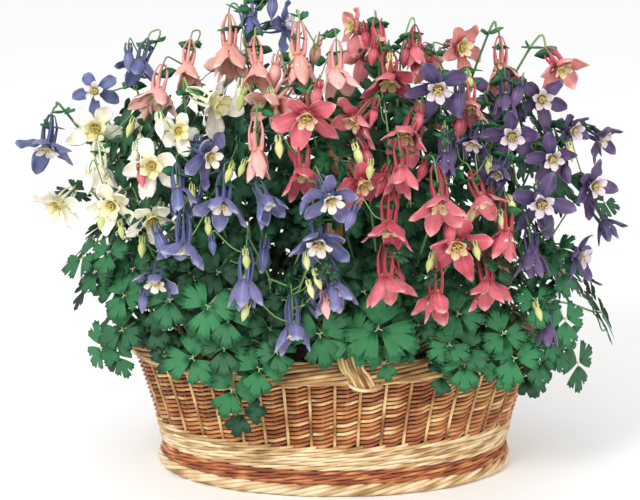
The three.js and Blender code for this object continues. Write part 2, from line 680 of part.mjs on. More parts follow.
for (const [plant, rows] of Object.entries(BLOOMS)) {
  const total = rows.length + (FAR_BLOOMS[plant] ? 1 : 0);
  const [cx, cy] = CROWNS[plant];
  const crown = V(cx, cy, SOIL_TOP);
  for (let row = 0; row < total; row++) {
    const group = blooms.filter((b) => b.plant === plant && b.node === row);
    let routes = [undefined];
    if (group.length === 1) {
      const [b] = group;
      const end = b.hub.clone().addScaledVector(b.facing, -2.1 * b.size - GAP);
      stalkEnds.push({ plant, points: [end, ...stalkHead(b, crown)] });
    } else {
      const spray = sprayRoutes(group, crown);
      routes = spray.routes;
      stalkEnds.push({ plant, points: spray.end });
    }
    const joined = (grow) => group.map((b, i) => bloomSolid(b, grow, routes[i])).reduce((a, b) => a.add(b));
    const solid = joined(0);
    const kind = group.length > 1 ? "spray" : "bloom";
    const node = push(`${kind}_${plant}_${row + 1}`, solid, TINTS[plant], 0.6);
    node.fat = joined(GAP).add(solid);
  }
}

// Petals that would pass through a neighbour's are cut back clear of them, on the bloom that
// loses the smaller part.
const flowers = nodes.slice(fixed);
flowers.forEach((a, i) => {
  for (const b of flowers.slice(i + 1)) {
    if (a.solid.intersect(b.fat).isEmpty()) continue;
    const cutA = largest(a.solid.subtract(b.fat));
    const cutB = largest(b.solid.subtract(a.fat));
    if (cutA.volume() / a.solid.volume() > cutB.volume() / b.solid.volume()) a.solid = cutA;
    else b.solid = cutB;
  }
  a.solid = largest(a.solid.subtract(bow));
});

const leaves = leafPlaces();
const nearest = (p) => {
  const apart = ([x, y]) => Math.hypot((p.x - x) * 0.8, p.y - y);
  return Object.keys(CROWNS).reduce((a, b) => (apart(CROWNS[a]) < apart(CROWNS[b]) ? a : b));
};

// What a solid shares with nodes other than its own. A petal can give way, and nothing else can.
const shared = (solid, own) => {
  const cost = (n) => (flowers.includes(n) ? 10 : 1000) * overlap(n.solid, solid);
  return nodes.reduce((sum, n) => (n === own ? sum : sum + cost(n)), 0);
};

// The first of several tries that stays clear of every other node and of its own plant above
// the crown, or the one that comes nearest to that.
function clearest(tries, attempt, own, crown) {
  let best;
  for (let i = 0; i < tries; i++) {
    const make = attempt(i);
    const fat = make(GAP).add(make(0));
    const inOwn = Math.abs(own.solid.intersect(fat).subtract(crown).volume());
    const tangle = shared(fat, own) + inOwn;
    if (!best || tangle < best.tangle) best = { make, fat, tangle };
    if (tangle === 0) break;
  }
  return best;
}

const growing = []; // every stalk and leaf with its root and its plant
for (const plant of Object.keys(CROWNS)) {
  const [cx, cy] = CROWNS[plant];
  const stub = new THREE.CylinderGeometry(CROWN * 0.95, CROWN, CROWN_DEEP + 4 - GAP, 6);
  stub.rotateX(Math.PI / 2).translate(cx, cy, SOIL_TOP + 4 - (CROWN_DEEP + 4 - GAP) / 2);
  const node = push(`plant_${plant}`, solidOf(stub), COLOURS.leaf, 0.7);
  const collar = new THREE.CylinderGeometry(CROWN, CROWN, CROWN_DEEP + 8, 6).rotateX(Math.PI / 2);
  const crown = solidOf(collar.translate(cx, cy, SOIL_TOP + 6 - (CROWN_DEEP + 8) / 2));
  const growths = [
    ...stalkEnds.filter((s) => s.plant === plant).map((stalk) => ({ stalk, goal: stalk.points[0] })),
    ...leaves.filter((l) => nearest(l.hub) === plant).map((leaf) => ({ leaf, goal: leaf.hub })),
  ];
  // Each growth has its own place in the crown, on the side that it leans to.
  const heading = ({ goal }) => Math.atan2(goal.y - cy, goal.x - cx);
  growths.sort((a, b) => heading(a) - heading(b));
  growths.forEach((growth, i) => {
    const turn = heading(growths[0]) + (2 * Math.PI * i) / growths.length;
    const r = CROWN * [0.25, 0.45, 0.65][i % 3];
    const outward = V(r * Math.cos(turn), r * Math.sin(turn), 0);
    const root = V(cx, cy, SOIL_TOP - 3).add(outward);
    const foot = root.clone().addScaledVector(outward, 0.8).add(V(0, 0, 20));
    growing.push({ ...growth, root, foot, node, crown });
  });
}

// All stalks grow first and then the leaves, the front ones before those in the shade.
const turnOf = ({ leaf }) => (leaf ? 1 + leaves.indexOf(leaf) : 0);
growing.sort((a, b) => turnOf(a) - turnOf(b));

for (const { stalk, leaf, root, foot, node, crown } of growing) {
  const stalkTry = (i) => {
    const far = stalk.points[stalk.points.length - 1];
    const mid = V().lerpVectors(root, far, 0.6).add(bend(i, 9));
    mid.z += 12;
    const path = [...stalk.points, mid, foot, root];
    return (grow) => stalkSolid(path, STALK, STALK_FOOT, grow);
  };
  const leafTry = (i) => {
    const hub = leaf.hub.clone().add(bend(i, 3));
    if (i > 0) hub.z += 4 * (scatter(i, 7) - 0.5) * Math.ceil(i / 6);
    const tipward = V(0, 0, -1).addScaledVector(leaf.normal, leaf.normal.z).normalize();
    tipward.applyAxisAngle(leaf.normal, rad(leaf.roll));
    const low = hub.clone().addScaledVector(leaf.normal, -8).add(V(0, 0, 4));
    const crest = V().lerpVectors(hub, root, 0.4).add(bend(i, 5));
    crest.z = Math.max(hub.z + 4, 166);
    const ahead = V().subVectors(crest, hub).dot(leaf.normal) + 12; // a petiole stays behind its leaf
    if (ahead > 0) crest.addScaledVector(leaf.normal, -ahead);
    const path = leaf.plain ? [hub, low, root] : [hub, low, crest, root];
    return (grow) => leafSolid({ ...leaf, hub, tipward }, path, grow);
  };
  const best = clearest(60, leaf ? leafTry : stalkTry, node, crown);
  for (const flower of flowers) {
    if (flower.solid.intersect(best.fat).isEmpty()) continue;
    flower.solid = largest(flower.solid.subtract(best.fat)); // a petal's tip in the stalk's way
  }
  node.solid = node.solid.add(best.make(0));
}

for (const node of nodes.slice(fixed)) node.solid = node.solid.simplify(FINE);

const object = new THREE.Group();
for (const { name, solid, colour, roughness } of nodes) {
  const geometry = geometryOf(solid);
  geometry.computeVertexNormals();
  const material = new THREE.MeshStandardMaterial({ color: colour, roughness, metalness: 0 });
  const mesh = new THREE.Mesh(geometry, material);
  mesh.name = name;
  object.add(mesh);
}

export default object;
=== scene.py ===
import math

import bpy
import numpy as np
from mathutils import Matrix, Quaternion, Vector


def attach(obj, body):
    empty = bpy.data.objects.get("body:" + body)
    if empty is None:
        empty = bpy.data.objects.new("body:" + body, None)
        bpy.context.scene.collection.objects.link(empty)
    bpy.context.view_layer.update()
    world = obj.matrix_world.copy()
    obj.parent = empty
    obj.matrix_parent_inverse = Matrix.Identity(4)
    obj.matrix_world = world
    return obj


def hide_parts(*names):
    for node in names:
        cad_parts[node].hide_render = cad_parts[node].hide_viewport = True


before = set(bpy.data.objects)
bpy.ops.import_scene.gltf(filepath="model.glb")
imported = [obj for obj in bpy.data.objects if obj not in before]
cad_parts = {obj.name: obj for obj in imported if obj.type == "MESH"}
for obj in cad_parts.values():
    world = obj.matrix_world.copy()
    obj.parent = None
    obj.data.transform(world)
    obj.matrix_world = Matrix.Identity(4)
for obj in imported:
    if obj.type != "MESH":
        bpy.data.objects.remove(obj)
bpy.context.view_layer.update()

bpy.ops.object.select_all(action="DESELECT")

# ---- Upright stakes of the basket ----------------------------------------
# The stakes are one-year willow rods, boiled, stripped and gone pale with age. They are pushed
# into the base and turned up. Between each two there is one more, which the weavers hide.

MM = 0.001
OVAL = 0.58  # the oval's width over its length
STAKES = 40
WALL_FOOT, WALL_TOP = 24, 119
WALL_LOW, WALL_HIGH = 180, 206  # half lengths outside, at the foot and under the rim
WALL_MIDDLE = -4.2  # the stakes' line, from the outside of the weave
WALL_FLARE = 1.25  # above 1, the wall flares more near the rim
STAKE_LOW, STAKE_HIGH = 11, 131
STAKE_RADIUS, HIDDEN_RADIUS = 1.75, 1.45

# turns of the oval, and the share of the way round that each stands for
TURN = np.linspace(0, 2 * np.pi, 1441)
WALK = np.cumsum(np.hypot(np.diff(np.cos(TURN)), OVAL * np.diff(np.sin(TURN))))
WALK = np.concatenate([[0], WALK]) / WALK[-1]


def oval_point(share, half, z, out=0):
    """Points at a share of the way round the oval, from its back, moved out by so many mm."""
    a = np.interp(np.mod(np.asarray(share) + 0.25, 1), WALK, TURN)
    return np.stack(np.broadcast_arrays((half + out) * np.cos(a), (half * OVAL + out) * np.sin(a), z), -1)


def wall_half(z):
    """Half length of the wall's outside at a height: it flares towards the rim."""
    rise = np.clip((z - WALL_FOOT) / (WALL_TOP - WALL_FOOT), 0, 1.3)
    return WALL_LOW + (WALL_HIGH - WALL_LOW) * rise**WALL_FLARE


def linear(shade):
    """The linear colour of an sRGB hex value."""
    parts = [int(shade[i : i + 2], 16) / 255 for i in (1, 3, 5)]
    return [*(c / 12.92 if c <= 0.04045 else ((c + 0.055) / 1.055) ** 2.4 for c in parts), 1]


def add(material, kind, links, **settings):
    """Adds a shader node with its settings, and its inputs' links or values."""
    new = material.node_tree.nodes.new("ShaderNode" + kind)
    for key, value in settings.items():
        setattr(new, key, value)
    for socket, value in links.items():
        if isinstance(value, bpy.types.NodeSocket):
            material.node_tree.links.new(value, new.inputs[socket])
        else:
            new.inputs[socket].default_value = value
    return new


def new_material(name):
    """A material with its main shader."""
    material = bpy.data.materials.new(name)
    material.use_nodes = True
    return material, material.node_tree.nodes["Principled BSDF"]


def marks(material):
    """The map and the tone that the meshes carry, and the map's two parts."""
    grain = add(material, "UVMap", {}, uv_map="grain").outputs["UV"]
    tone = add(material, "Attribute", {}, attribute_name="tone").outputs["Fac"]
    part = add(material, "SeparateXYZ", {"Vector": grain})
    return grain, tone, part.outputs["X"], part.outputs["Y"]


def dress(material, shader, colour, bump, rough):
    """Gives the main shader its colour, relief and roughness."""
    material.node_tree.links.new(colour.outputs[2], shader.inputs["Base Color"])
    material.node_tree.links.new(bump.outputs[0], shader.inputs["Normal"])
    shader.inputs["Roughness"].default_value = rough


def scatter(i, k):
    """A fixed scatter between 0 and 1 for the i-th thing. k keeps what it is drawn for apart."""
    s = math.sin(i * 12.9898 + k * 78.233) * 43758.5453
    return s - math.floor(s)


def sway(i, k, width):
    """A fixed scatter as wide as that, round 0."""
    return width * (scatter(i, k) - 0.5)


def unit(v):
    """A vector, or each row of them, of length 1."""
    return v / np.linalg.norm(v, axis=-1, keepdims=True)


class Bunch:
    """Rods, petals and blades gathered into one mesh, each with its own tone and map."""

    def __init__(self):
        self.points, self.corners, self.sizes = [], [], []
        self.maps, self.tones, self.finishes = [], [], []
        self.count = 0
        self.turn, self.origin = np.eye(3), np.zeros(3)

    def skin(self, rings, across, along, tone, finish, closed=False):
        """A skin over rings of points in mm: open ends are capped, or the last ring meets the first."""
        rows, columns = rings.shape[:2]
        rings = rings @ self.turn.T + self.origin
        ids = np.arange(rows * columns).reshape(rows, columns)
        right = np.roll(ids, -1, axis=1)
        if closed:
            ahead, ahead_right = np.roll(ids, -1, axis=0), np.roll(right, -1, axis=0)
            quads = np.stack([ids, right, ahead_right, ahead], -1).reshape(-1, 4)
        else:
            quads = np.stack([ids[:-1], right[:-1], right[1:], ids[1:]], -1).reshape(-1, 4)
        flat = rings.reshape(-1, 3)
        a, b, c, d = ((flat - flat.mean(0))[quads[:, k]] for k in range(4))
        inside = np.einsum("ij,ij->", a, np.cross(b, c)) + np.einsum("ij,ij->", a, np.cross(c, d))
        caps = [] if closed else [ids[0][::-1], ids[-1]]
        if inside < 0:
            quads, caps = quads[:, ::-1], [cap[::-1] for cap in caps]
        self.points.append(flat)
        self.corners.extend([quads.ravel() + self.count, *(cap + self.count for cap in caps)])
        self.sizes.extend([np.full(len(quads), 4), *(np.array([len(cap)]) for cap in caps)])
        self.finishes.append(np.full(len(quads) + len(caps), finish))
        along = np.reshape(along, (rows, -1))
        across, along = np.broadcast_arrays(across, along)
        self.maps.append(np.stack([across, along], -1).reshape(-1, 2))
        self.tones.append(np.full(len(flat), tone))
        self.count += len(flat)

    def rod(self, path, radius, sides, tone, finish=0, closed=False, upright=None):
        """A round rod along a path. upright is a direction that its sides keep to."""
        path = np.asarray(path, float)
        if closed:
            ahead = np.roll(path, -1, axis=0) - np.roll(path, 1, axis=0)
        else:
            ahead = np.gradient(path, axis=0)
        ahead = unit(ahead)
        if upright is None:
            turned = np.cross(ahead[0], np.eye(3)[np.argmin(np.abs(ahead[0]))])
            side = []
            for d in ahead:
                turned = unit(turned - d * (turned @ d))
                side.append(turned)
            side = np.array(side)
        else:
            side = unit(np.cross(ahead, upright))
        up = np.cross(side, ahead)
        a = np.linspace(0, 2 * np.pi, sides, endpoint=False)[None, :, None]
        radius = np.broadcast_to(radius, len(path))[:, None, None]
        rings = path[:, None] + radius * (np.cos(a) * side[:, None] + np.sin(a) * up[:, None])
        steps = np.linalg.norm(np.diff(path, axis=0), axis=1)
        along = np.concatenate([[0], np.cumsum(steps)]) * MM
        across = np.abs(np.linspace(-1, 1, sides, endpoint=False))
        self.skin(rings, across, along, tone, finish, closed)

    def piece(self, name, finishes, slot, *nodes):
        """Makes the mesh an object that rides on the part and stands for the nodes."""
        mesh = bpy.data.meshes.new(name)
        points = np.concatenate(self.points) * MM
        corners, sizes = np.concatenate(self.corners), np.concatenate(self.sizes)
        mesh.vertices.add(len(points))
        mesh.vertices.foreach_set("co", points.ravel())
        mesh.loops.add(len(corners))
        mesh.loops.foreach_set("vertex_index", corners.astype(np.int32))
        mesh.polygons.add(len(sizes))
        mesh.polygons.foreach_set("loop_start", (np.cumsum(sizes) - sizes).astype(np.int32))
        mesh.polygons.foreach_set("material_index", np.concatenate(self.finishes).astype(np.int32))
        mesh.update(calc_edges=True)
        mesh.shade_smooth()
        layer = mesh.uv_layers.new(name="grain")
        layer.uv.foreach_set("vector", np.concatenate(self.maps)[corners].astype(np.float32).ravel())
        tone = mesh.attributes.new("tone", "FLOAT", "POINT")
        tone.data.foreach_set("value", np.concatenate(self.tones).astype(np.float32))
        for finish in finishes:
            mesh.materials.append(finish)
        thing = bpy.data.objects.new(name, mesh)
        bpy.context.collection.objects.link(thing)
        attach(thing, "root")
        if nodes:
            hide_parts(*nodes)


def willow(name, dark, middle, pale, shift):
    """Stripped willow: a satin skin with fine lengthwise fibres, whose colour changes along a rod."""
    material, shader = new_material(name)
    grain, tone, _, along = marks(material)
    far = add(material, "Math", {0: tone, 1: 57.0}, operation="MULTIPLY")
    spot = add(material, "CombineXYZ", {"X": far.outputs[0], "Y": along})
    # a rod keeps one colour for about 40 mm
    patch = add(material, "TexNoise", {"Vector": spot.outputs[0], "Scale": 26.0, "Detail": 1.5})
    level = add(material, "MapRange", {0: patch.outputs["Fac"], 1: 0.36 + shift, 2: 0.64 + shift})
    fibre_map = add(material, "Mapping", {"Vector": grain, "Scale": (5.0, 60.0, 1.0)})
    fibre = add(material, "TexNoise", {"Vector": fibre_map.outputs[0], "Scale": 3.0, "Detail": 3.0})
    low = add(material, "MapRange", {0: level.outputs[0], 1: 0.0, 2: 0.5})
    high = add(material, "MapRange", {0: level.outputs[0], 1: 0.5, 2: 1.0})
    brown = add(material, "Mix", {0: low.outputs[0], 6: linear(dark), 7: linear(middle)}, data_type="RGBA")
    coats = {0: high.outputs[0], 6: brown.outputs[2], 7: linear(pale)}
    blond = add(material, "Mix", coats, data_type="RGBA")
    streak = add(material, "MapRange", {0: fibre.outputs["Fac"], 3: 0.72, 4: 1.18})
    coats = {0: 1.0, 6: blond.outputs[2], 7: streak.outputs[0]}
    skin = add(material, "Mix", coats, data_type="RGBA", blend_type="MULTIPLY")
    bump = add(material, "Bump", {"Height": fibre.outputs["Fac"], "Strength": 0.25, "Distance": 0.0006})
    dress(material, shader, skin, bump, 0.42)
    return material


white_willow = willow("peeled_white_willow", "#9e7444", "#d0aa76", "#ecd8b0", -0.04)
buff_willow = willow("boiled_buff_willow", "#8a4822", "#c27e48", "#ecc88c", 0.03)
rim_willow = willow("weathered_buff_willow", "#7c5430", "#bc8e56", "#e8ca90", 0.0)
brown_willow = willow("brown_willow", "#7e3a1c", "#b3663a", "#dca468", 0.05)

stakes = Bunch()
for i in range(2 * STAKES):
    z = np.linspace(STAKE_LOW, STAKE_HIGH, 10)
    hidden = i % 2
    line = oval_point(0.5 * i / STAKES, wall_half(z), z, WALL_MIDDLE - hidden)
    radius = HIDDEN_RADIUS if hidden else STAKE_RADIUS
    stakes.rod(line, radius, 6, 0.5 * scatter(i, 1), upright=(1, 0, 0.1))
stakes.piece("wall_stakes", [rim_willow], "willow_weave", "basket_wall")

# ---- Randing -------------------------------------------------------------
# The wall's weavers are thin rods, one begun at each stake. All climb together, behind every
# outer stake and over the hidden ones, so that each rises by a row from stake to stake.

RAND_LOW, RAND_HIGH = 52, 126
RAND_RISE = 4.75  # from stake to stake
RAND_SWING = 2.1  # in and out of the stakes' line
RAND_DIP = 0.05  # how far a rod dips on its way over a hidden stake, against the rise
RAND_BUTT, RAND_TIP = 1.85, 1.5  # radius at a rod's thick and thin end
RAND_STEPS = 8

randing = Bunch()
passes = int((RAND_HIGH - RAND_LOW) / RAND_RISE)
for i in range(STAKES):
    step = np.arange(passes * RAND_STEPS + 1) / RAND_STEPS
    z = RAND_LOW + RAND_RISE * (step - RAND_DIP * np.sin(2 * np.pi * step))
    out = WALL_MIDDLE - RAND_SWING * np.cos(2 * np.pi * step)
    line = oval_point((i + step) / STAKES, wall_half(z), z, out)
    girth = np.linspace(RAND_BUTT, RAND_TIP, len(step)) * (1 + 0.12 * scatter(i, 4))
    randing.rod(line, girth, 6, scatter(i, 2), upright=(0, 0, 1))
randing.piece("wall_randing", [buff_willow], "willow_weave")

# ---- Waling --------------------------------------------------------------
# Stouter rods worked three together, each in front of two stakes and behind one, lock the
# stakes at the foot of the wall: a pale band under the randing and a brown one at the waist.

STRANDS = 3
WALE_FRONT = 2.3  # stakes, of each three, that a strand passes on the outside
WALE_IN, WALE_SWING = 3.4, 5.4  # how far in a strand lies behind a stake, and from there outwards


def wale(bunch, low, rounds, pitch, radius, half_at, out, tone_key):
    """Rounds of three-rod wale, each strand rising while it lies outside."""
    for r in range(rounds):
        for k in range(STRANDS):
            step = np.arange(STAKES * 4) / 4
            phase = np.mod(step + k, STRANDS)
            front = phase < WALE_FRONT
            rise = np.where(front, phase / WALE_FRONT, 1 - (phase - WALE_FRONT) / (STRANDS - WALE_FRONT))
            z = low + pitch * (r + 0.5) + pitch * 1.05 * (rise - 0.5)
            away = np.where(front, np.sin(np.pi * np.clip(phase / WALE_FRONT, 0, 1)) ** 0.4, 0)
            shift = out - WALE_IN + WALE_SWING * away
            line = oval_point((step + 0.5 * r) / STAKES, half_at(z), z, shift)
            tone = scatter(r * STRANDS + k, tone_key)
            bunch.rod(line, radius, 6, tone, closed=True, upright=(0, 0, 1))


pale_wale = Bunch()
out = WALL_MIDDLE + 1.4
wale(pale_wale, low=27.5, rounds=5, pitch=5.0, radius=1.7, half_at=wall_half, out=out, tone_key=5)
pale_wale.piece("wall_pale_wale", [white_willow], "willow_pale")


def waist_half(z):
    """Half length of the waist's outside at a height."""
    return 184 - 0.2 * z


brown_wale = Bunch()
wale(brown_wale, low=12.5, rounds=3, pitch=5.0, radius=1.8, half_at=waist_half, out=-3.0, tone_key=6)
brown_wale.piece("wall_brown_wale", [brown_willow], "willow_weave", "basket_foot_border")

# ---- Foot border ---------------------------------------------------------
# The ends of the stakes are plaited round the foot in a pale rope, on which the basket stands.

ROPE_WAVES, ROPE_SLACK = 13, 0.10  # how often a strand stands off on its way round, and how much


def rope(bunch, centre, radii, strands, winds, girth, tone_key, steps=400, sides=6):
    """Strands wound round the oval on a section of the given radii, like a slack rope."""
    half, middle = centre
    share = np.arange(steps) / steps
    for k in range(strands):
        a = 2 * np.pi * (winds * share + k / strands)
        wave = 1 + ROPE_SLACK * np.sin(2 * np.pi * (share * ROPE_WAVES + scatter(k, tone_key)))
        out = radii[0] * np.cos(a) * wave
        z = middle + radii[1] * np.sin(a) * wave
        line = oval_point(share, half, z, out)
        bunch.rod(line, girth, sides, scatter(k, tone_key), closed=True, upright=(0, 0, 1))


foot = Bunch()
rope(foot, centre=(178.5, 6.6), radii=(4.1, 4.1), strands=6, winds=9, girth=2.4, tone_key=8)
foot.piece("foot_rope", [white_willow], "willow_pale")

# ---- Rim -----------------------------------------------------------------
# The stakes' tops are bent down and plaited into a thick rolled border, whose rods run long and
# nearly level. Both pale and brown rods go into it.

RIM_CENTRE = 206, 134.8  # half length and height

rim = Bunch()
rope(rim, RIM_CENTRE, radii=(6.6, 9.8), strands=13, winds=3, girth=2.0, tone_key=9, steps=220)
# stouter rods inside, which close the gaps between the outer ones
rope(rim, RIM_CENTRE, radii=(2.8, 6.0), strands=5, winds=2, girth=3.0, tone_key=10, steps=120, sides=4)
rim.piece("rim_plait", [rim_willow], "willow_rim", "basket_rim_border")

# ---- Base ----------------------------------------------------------------
# The flat base is woven on thirteen sticks laid across the oval. Rounds of thin rods go over and
# under them by turns, out to the wall.

BASE_LONG, BASE_DEEP = 176, 100  # half lengths both ways
STICKS, STICK_STEP = 13, 25
ROUNDS, ROUND_STEP = 27, 6
ROUND_POINTS = 8 * STICKS

base = Bunch()
for i in range(STICKS):
    x = STICK_STEP * (i - STICKS // 2)
    reach = BASE_DEEP * math.sqrt(max(1 - (x / BASE_LONG) ** 2, 0.02))
    line = [(x, y, 4.6) for y in np.linspace(-reach, reach, 5)]
    base.rod(line, 2.6, 6, scatter(i, 12), upright=(0, 0, 1))
for i in range(ROUNDS):
    share = np.arange(ROUND_POINTS) / ROUND_POINTS
    z = 4.4 + 2.2 * np.cos(np.pi * i) * np.cos(2 * np.pi * share * STICKS)
    line = oval_point(share, BASE_LONG - 4 - ROUND_STEP * i, z)
    base.rod(line, 2.4, 4, scatter(i, 13), closed=True, upright=(0, 0, 1))
base.piece("base_weave", [buff_willow], "willow_weave")

# ---- Handle --------------------------------------------------------------
# The bow is a bundle of bent rods. They lie twisted together over the top, fan out flat at the
# rim, and end under a pale rod that is drawn round each foot.

BOW_OUT = 214 * OVAL + 2.4  # from the middle out to the feet
BOW_TOP, BOW_FOOT = 372, 154  # heights of the bundle's top, and of where it leaves the rim
BOW_LEAN = 22  # how far right of the middle the front foot stands
ARCH_STEPS = 14
BOW_RODS, BOW_TURNS = 7, 1.4
BOW_ROUND, BOW_FAN = 5.2, 3.5  # the bundle's radius, and between the rods where they lie flat
FLAT_TO, GATHERED_FROM = 150, 190  # heights
THIN, THICK = 1.7, 2.8  # a rod's radius in the fan and in the bundle
# the rod drawn round a foot
TIE = [(12, -117, 131), (16, -127.5, 125), (30, -130.5, 122), (44, -127, 125), (48, -116, 131)]


def smooth(points, steps):
    """A smooth line through the points, with so many steps between each two."""
    points = np.asarray([tuple(p) for p in points], float)
    ends = np.concatenate([[2 * points[0] - points[1]], points, [2 * points[-1] - points[-2]]])
    t = np.linspace(0, 1, steps, endpoint=False)[:, None]
    line = []
    for a, b, c, d in zip(ends, ends[1:], ends[2:], ends[3:]):
        bend, twist = 2 * a - 5 * b + 4 * c - d, 3 * b - a - 3 * c + d
        line.append(0.5 * (2 * b + (c - a) * t + bend * t**2 + twist * t**3))
    return np.concatenate([*line, points[-1:]])


arch = []
for i in range(1, ARCH_STEPS):
    a = math.pi * i / ARCH_STEPS
    arch.append((0, -(BOW_OUT - 12) * math.cos(a), BOW_FOOT + (BOW_TOP - BOW_FOOT) * math.sin(a) ** 0.8))
front_foot = [(BOW_LEAN + 8, -BOW_OUT, 120), (BOW_LEAN, -BOW_OUT, 136), (BOW_LEAN - 8, -BOW_OUT, 151)]
back_foot = [(-x, -y, z) for x, y, z in reversed(front_foot)]
bow_line = smooth([*front_foot, *arch, *back_foot], 5)
sideways = np.array([1.0, 0, 0])
outwards = unit(np.cross(sideways, unit(np.gradient(bow_line, axis=0))))
gather = np.clip((bow_line[:, 2] - FLAT_TO) / (GATHERED_FROM - FLAT_TO), 0, 1)
gather = (gather * gather * (3 - 2 * gather))[:, None]
bow = Bunch()
for k in range(BOW_RODS):
    a = 2 * np.pi * (k / BOW_RODS + np.linspace(0, BOW_TURNS, len(bow_line)))[:, None]
    rounded = BOW_ROUND * (np.cos(a) * sideways + np.sin(a) * outwards)
    fanned = BOW_FAN * (k - BOW_RODS // 2) * sideways + 0.6 * (k % 2) * outwards
    line = bow_line + gather * rounded + (1 - gather) * fanned
    radius = THIN + (THICK - THIN) * gather[:, 0]
    bow.rod(line, radius, 7, 0.15 + 0.7 * scatter(k, 15), upright=(1, 0, 0.2))
for s in (1, -1):
    line = smooth([(s * x, s * y, z) for x, y, z in TIE], 6)
    bow.rod(line, 1.8, 7, 0.9, finish=1, upright=(0, 0, 1))
bow.piece("bow_rods", [rim_willow, white_willow], "willow_handle", "handle")

# ---- Liner and compost ---------------------------------------------------
# A dark polythene film keeps the compost in. The compost is moist peat with crumbs and bits of
# bark on top, dark brown and quite matt.

film, shader = new_material("black_polythene_film")
place = add(film, "TexCoord", {}).outputs["Object"]
crease = add(film, "TexNoise", {"Vector": place, "Scale": 55.0, "Detail": 3.0})
shine = add(film, "MapRange", {0: crease.outputs["Fac"], 3: 0.32, 4: 0.62})
bump = add(film, "Bump", {"Height": crease.outputs["Fac"], "Strength": 0.5, "Distance": 0.003})
film.node_tree.links.new(shine.outputs[0], shader.inputs["Roughness"])
film.node_tree.links.new(bump.outputs[0], shader.inputs["Normal"])
shader.inputs["Base Color"].default_value = linear("#262624")

peat, shader = new_material("moist_peat_compost")
place = add(peat, "TexCoord", {}).outputs["Object"]
# crumbs of 2 to 5 mm
crumb = add(peat, "TexVoronoi", {"Vector": place, "Scale": 260.0})
damp = add(peat, "TexNoise", {"Vector": place, "Scale": 60.0, "Detail": 5.0})
coats = {0: damp.outputs["Fac"], 6: linear("#1d130c"), 7: linear("#5a3e2a")}
earth = add(peat, "Mix", coats, data_type="RGBA")
bump = add(peat, "Bump", {"Height": crumb.outputs["Distance"], "Strength": 0.9, "Distance": 0.002})
dress(peat, shader, earth, bump, 0.95)

for node, finish in (("liner", film), ("soil", peat)):
    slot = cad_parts[node].material_slots[0]
    slot.link = "OBJECT"
    slot.material = finish

SOIL_TOP = 116
SOIL_LONG, SOIL_DEEP = 178, 101  # half lengths both ways
CRUMBS = 260

crumbs = Bunch()
for i in range(CRUMBS):
    a, r = 2 * math.pi * scatter(i, 20), math.sqrt(scatter(i, 21))
    x, y = SOIL_LONG * r * math.cos(a), SOIL_DEEP * r * math.sin(a)
    size = 1.6 + 3.4 * scatter(i, 22) ** 3
    spin = 2 * math.pi * scatter(i, 23)
    lie = np.array([math.cos(spin), math.sin(spin), sway(i, 24, 0.25)])
    line = np.array([x, y, SOIL_TOP - 0.8]) + np.outer((-0.9, -0.4, 0.4, 0.9), lie * size)
    crumbs.rod(line, np.array([0.35, 0.8, 0.75, 0.3]) * size, 5, scatter(i, 25))
crumbs.piece("compost_crumbs", [peat], "potting_soil")

# ---- Where the blooms stand ----------------------------------------------
# Eight columbine plants grow in the basket, each with its own colour. A row is one spray or
# single bloom, and each bloom is [x, z, yaw, pitch, tilt, size]: where it shows from the front
# in mm, the way it faces, how far its sepals lean forward, and its size against 60 mm across.

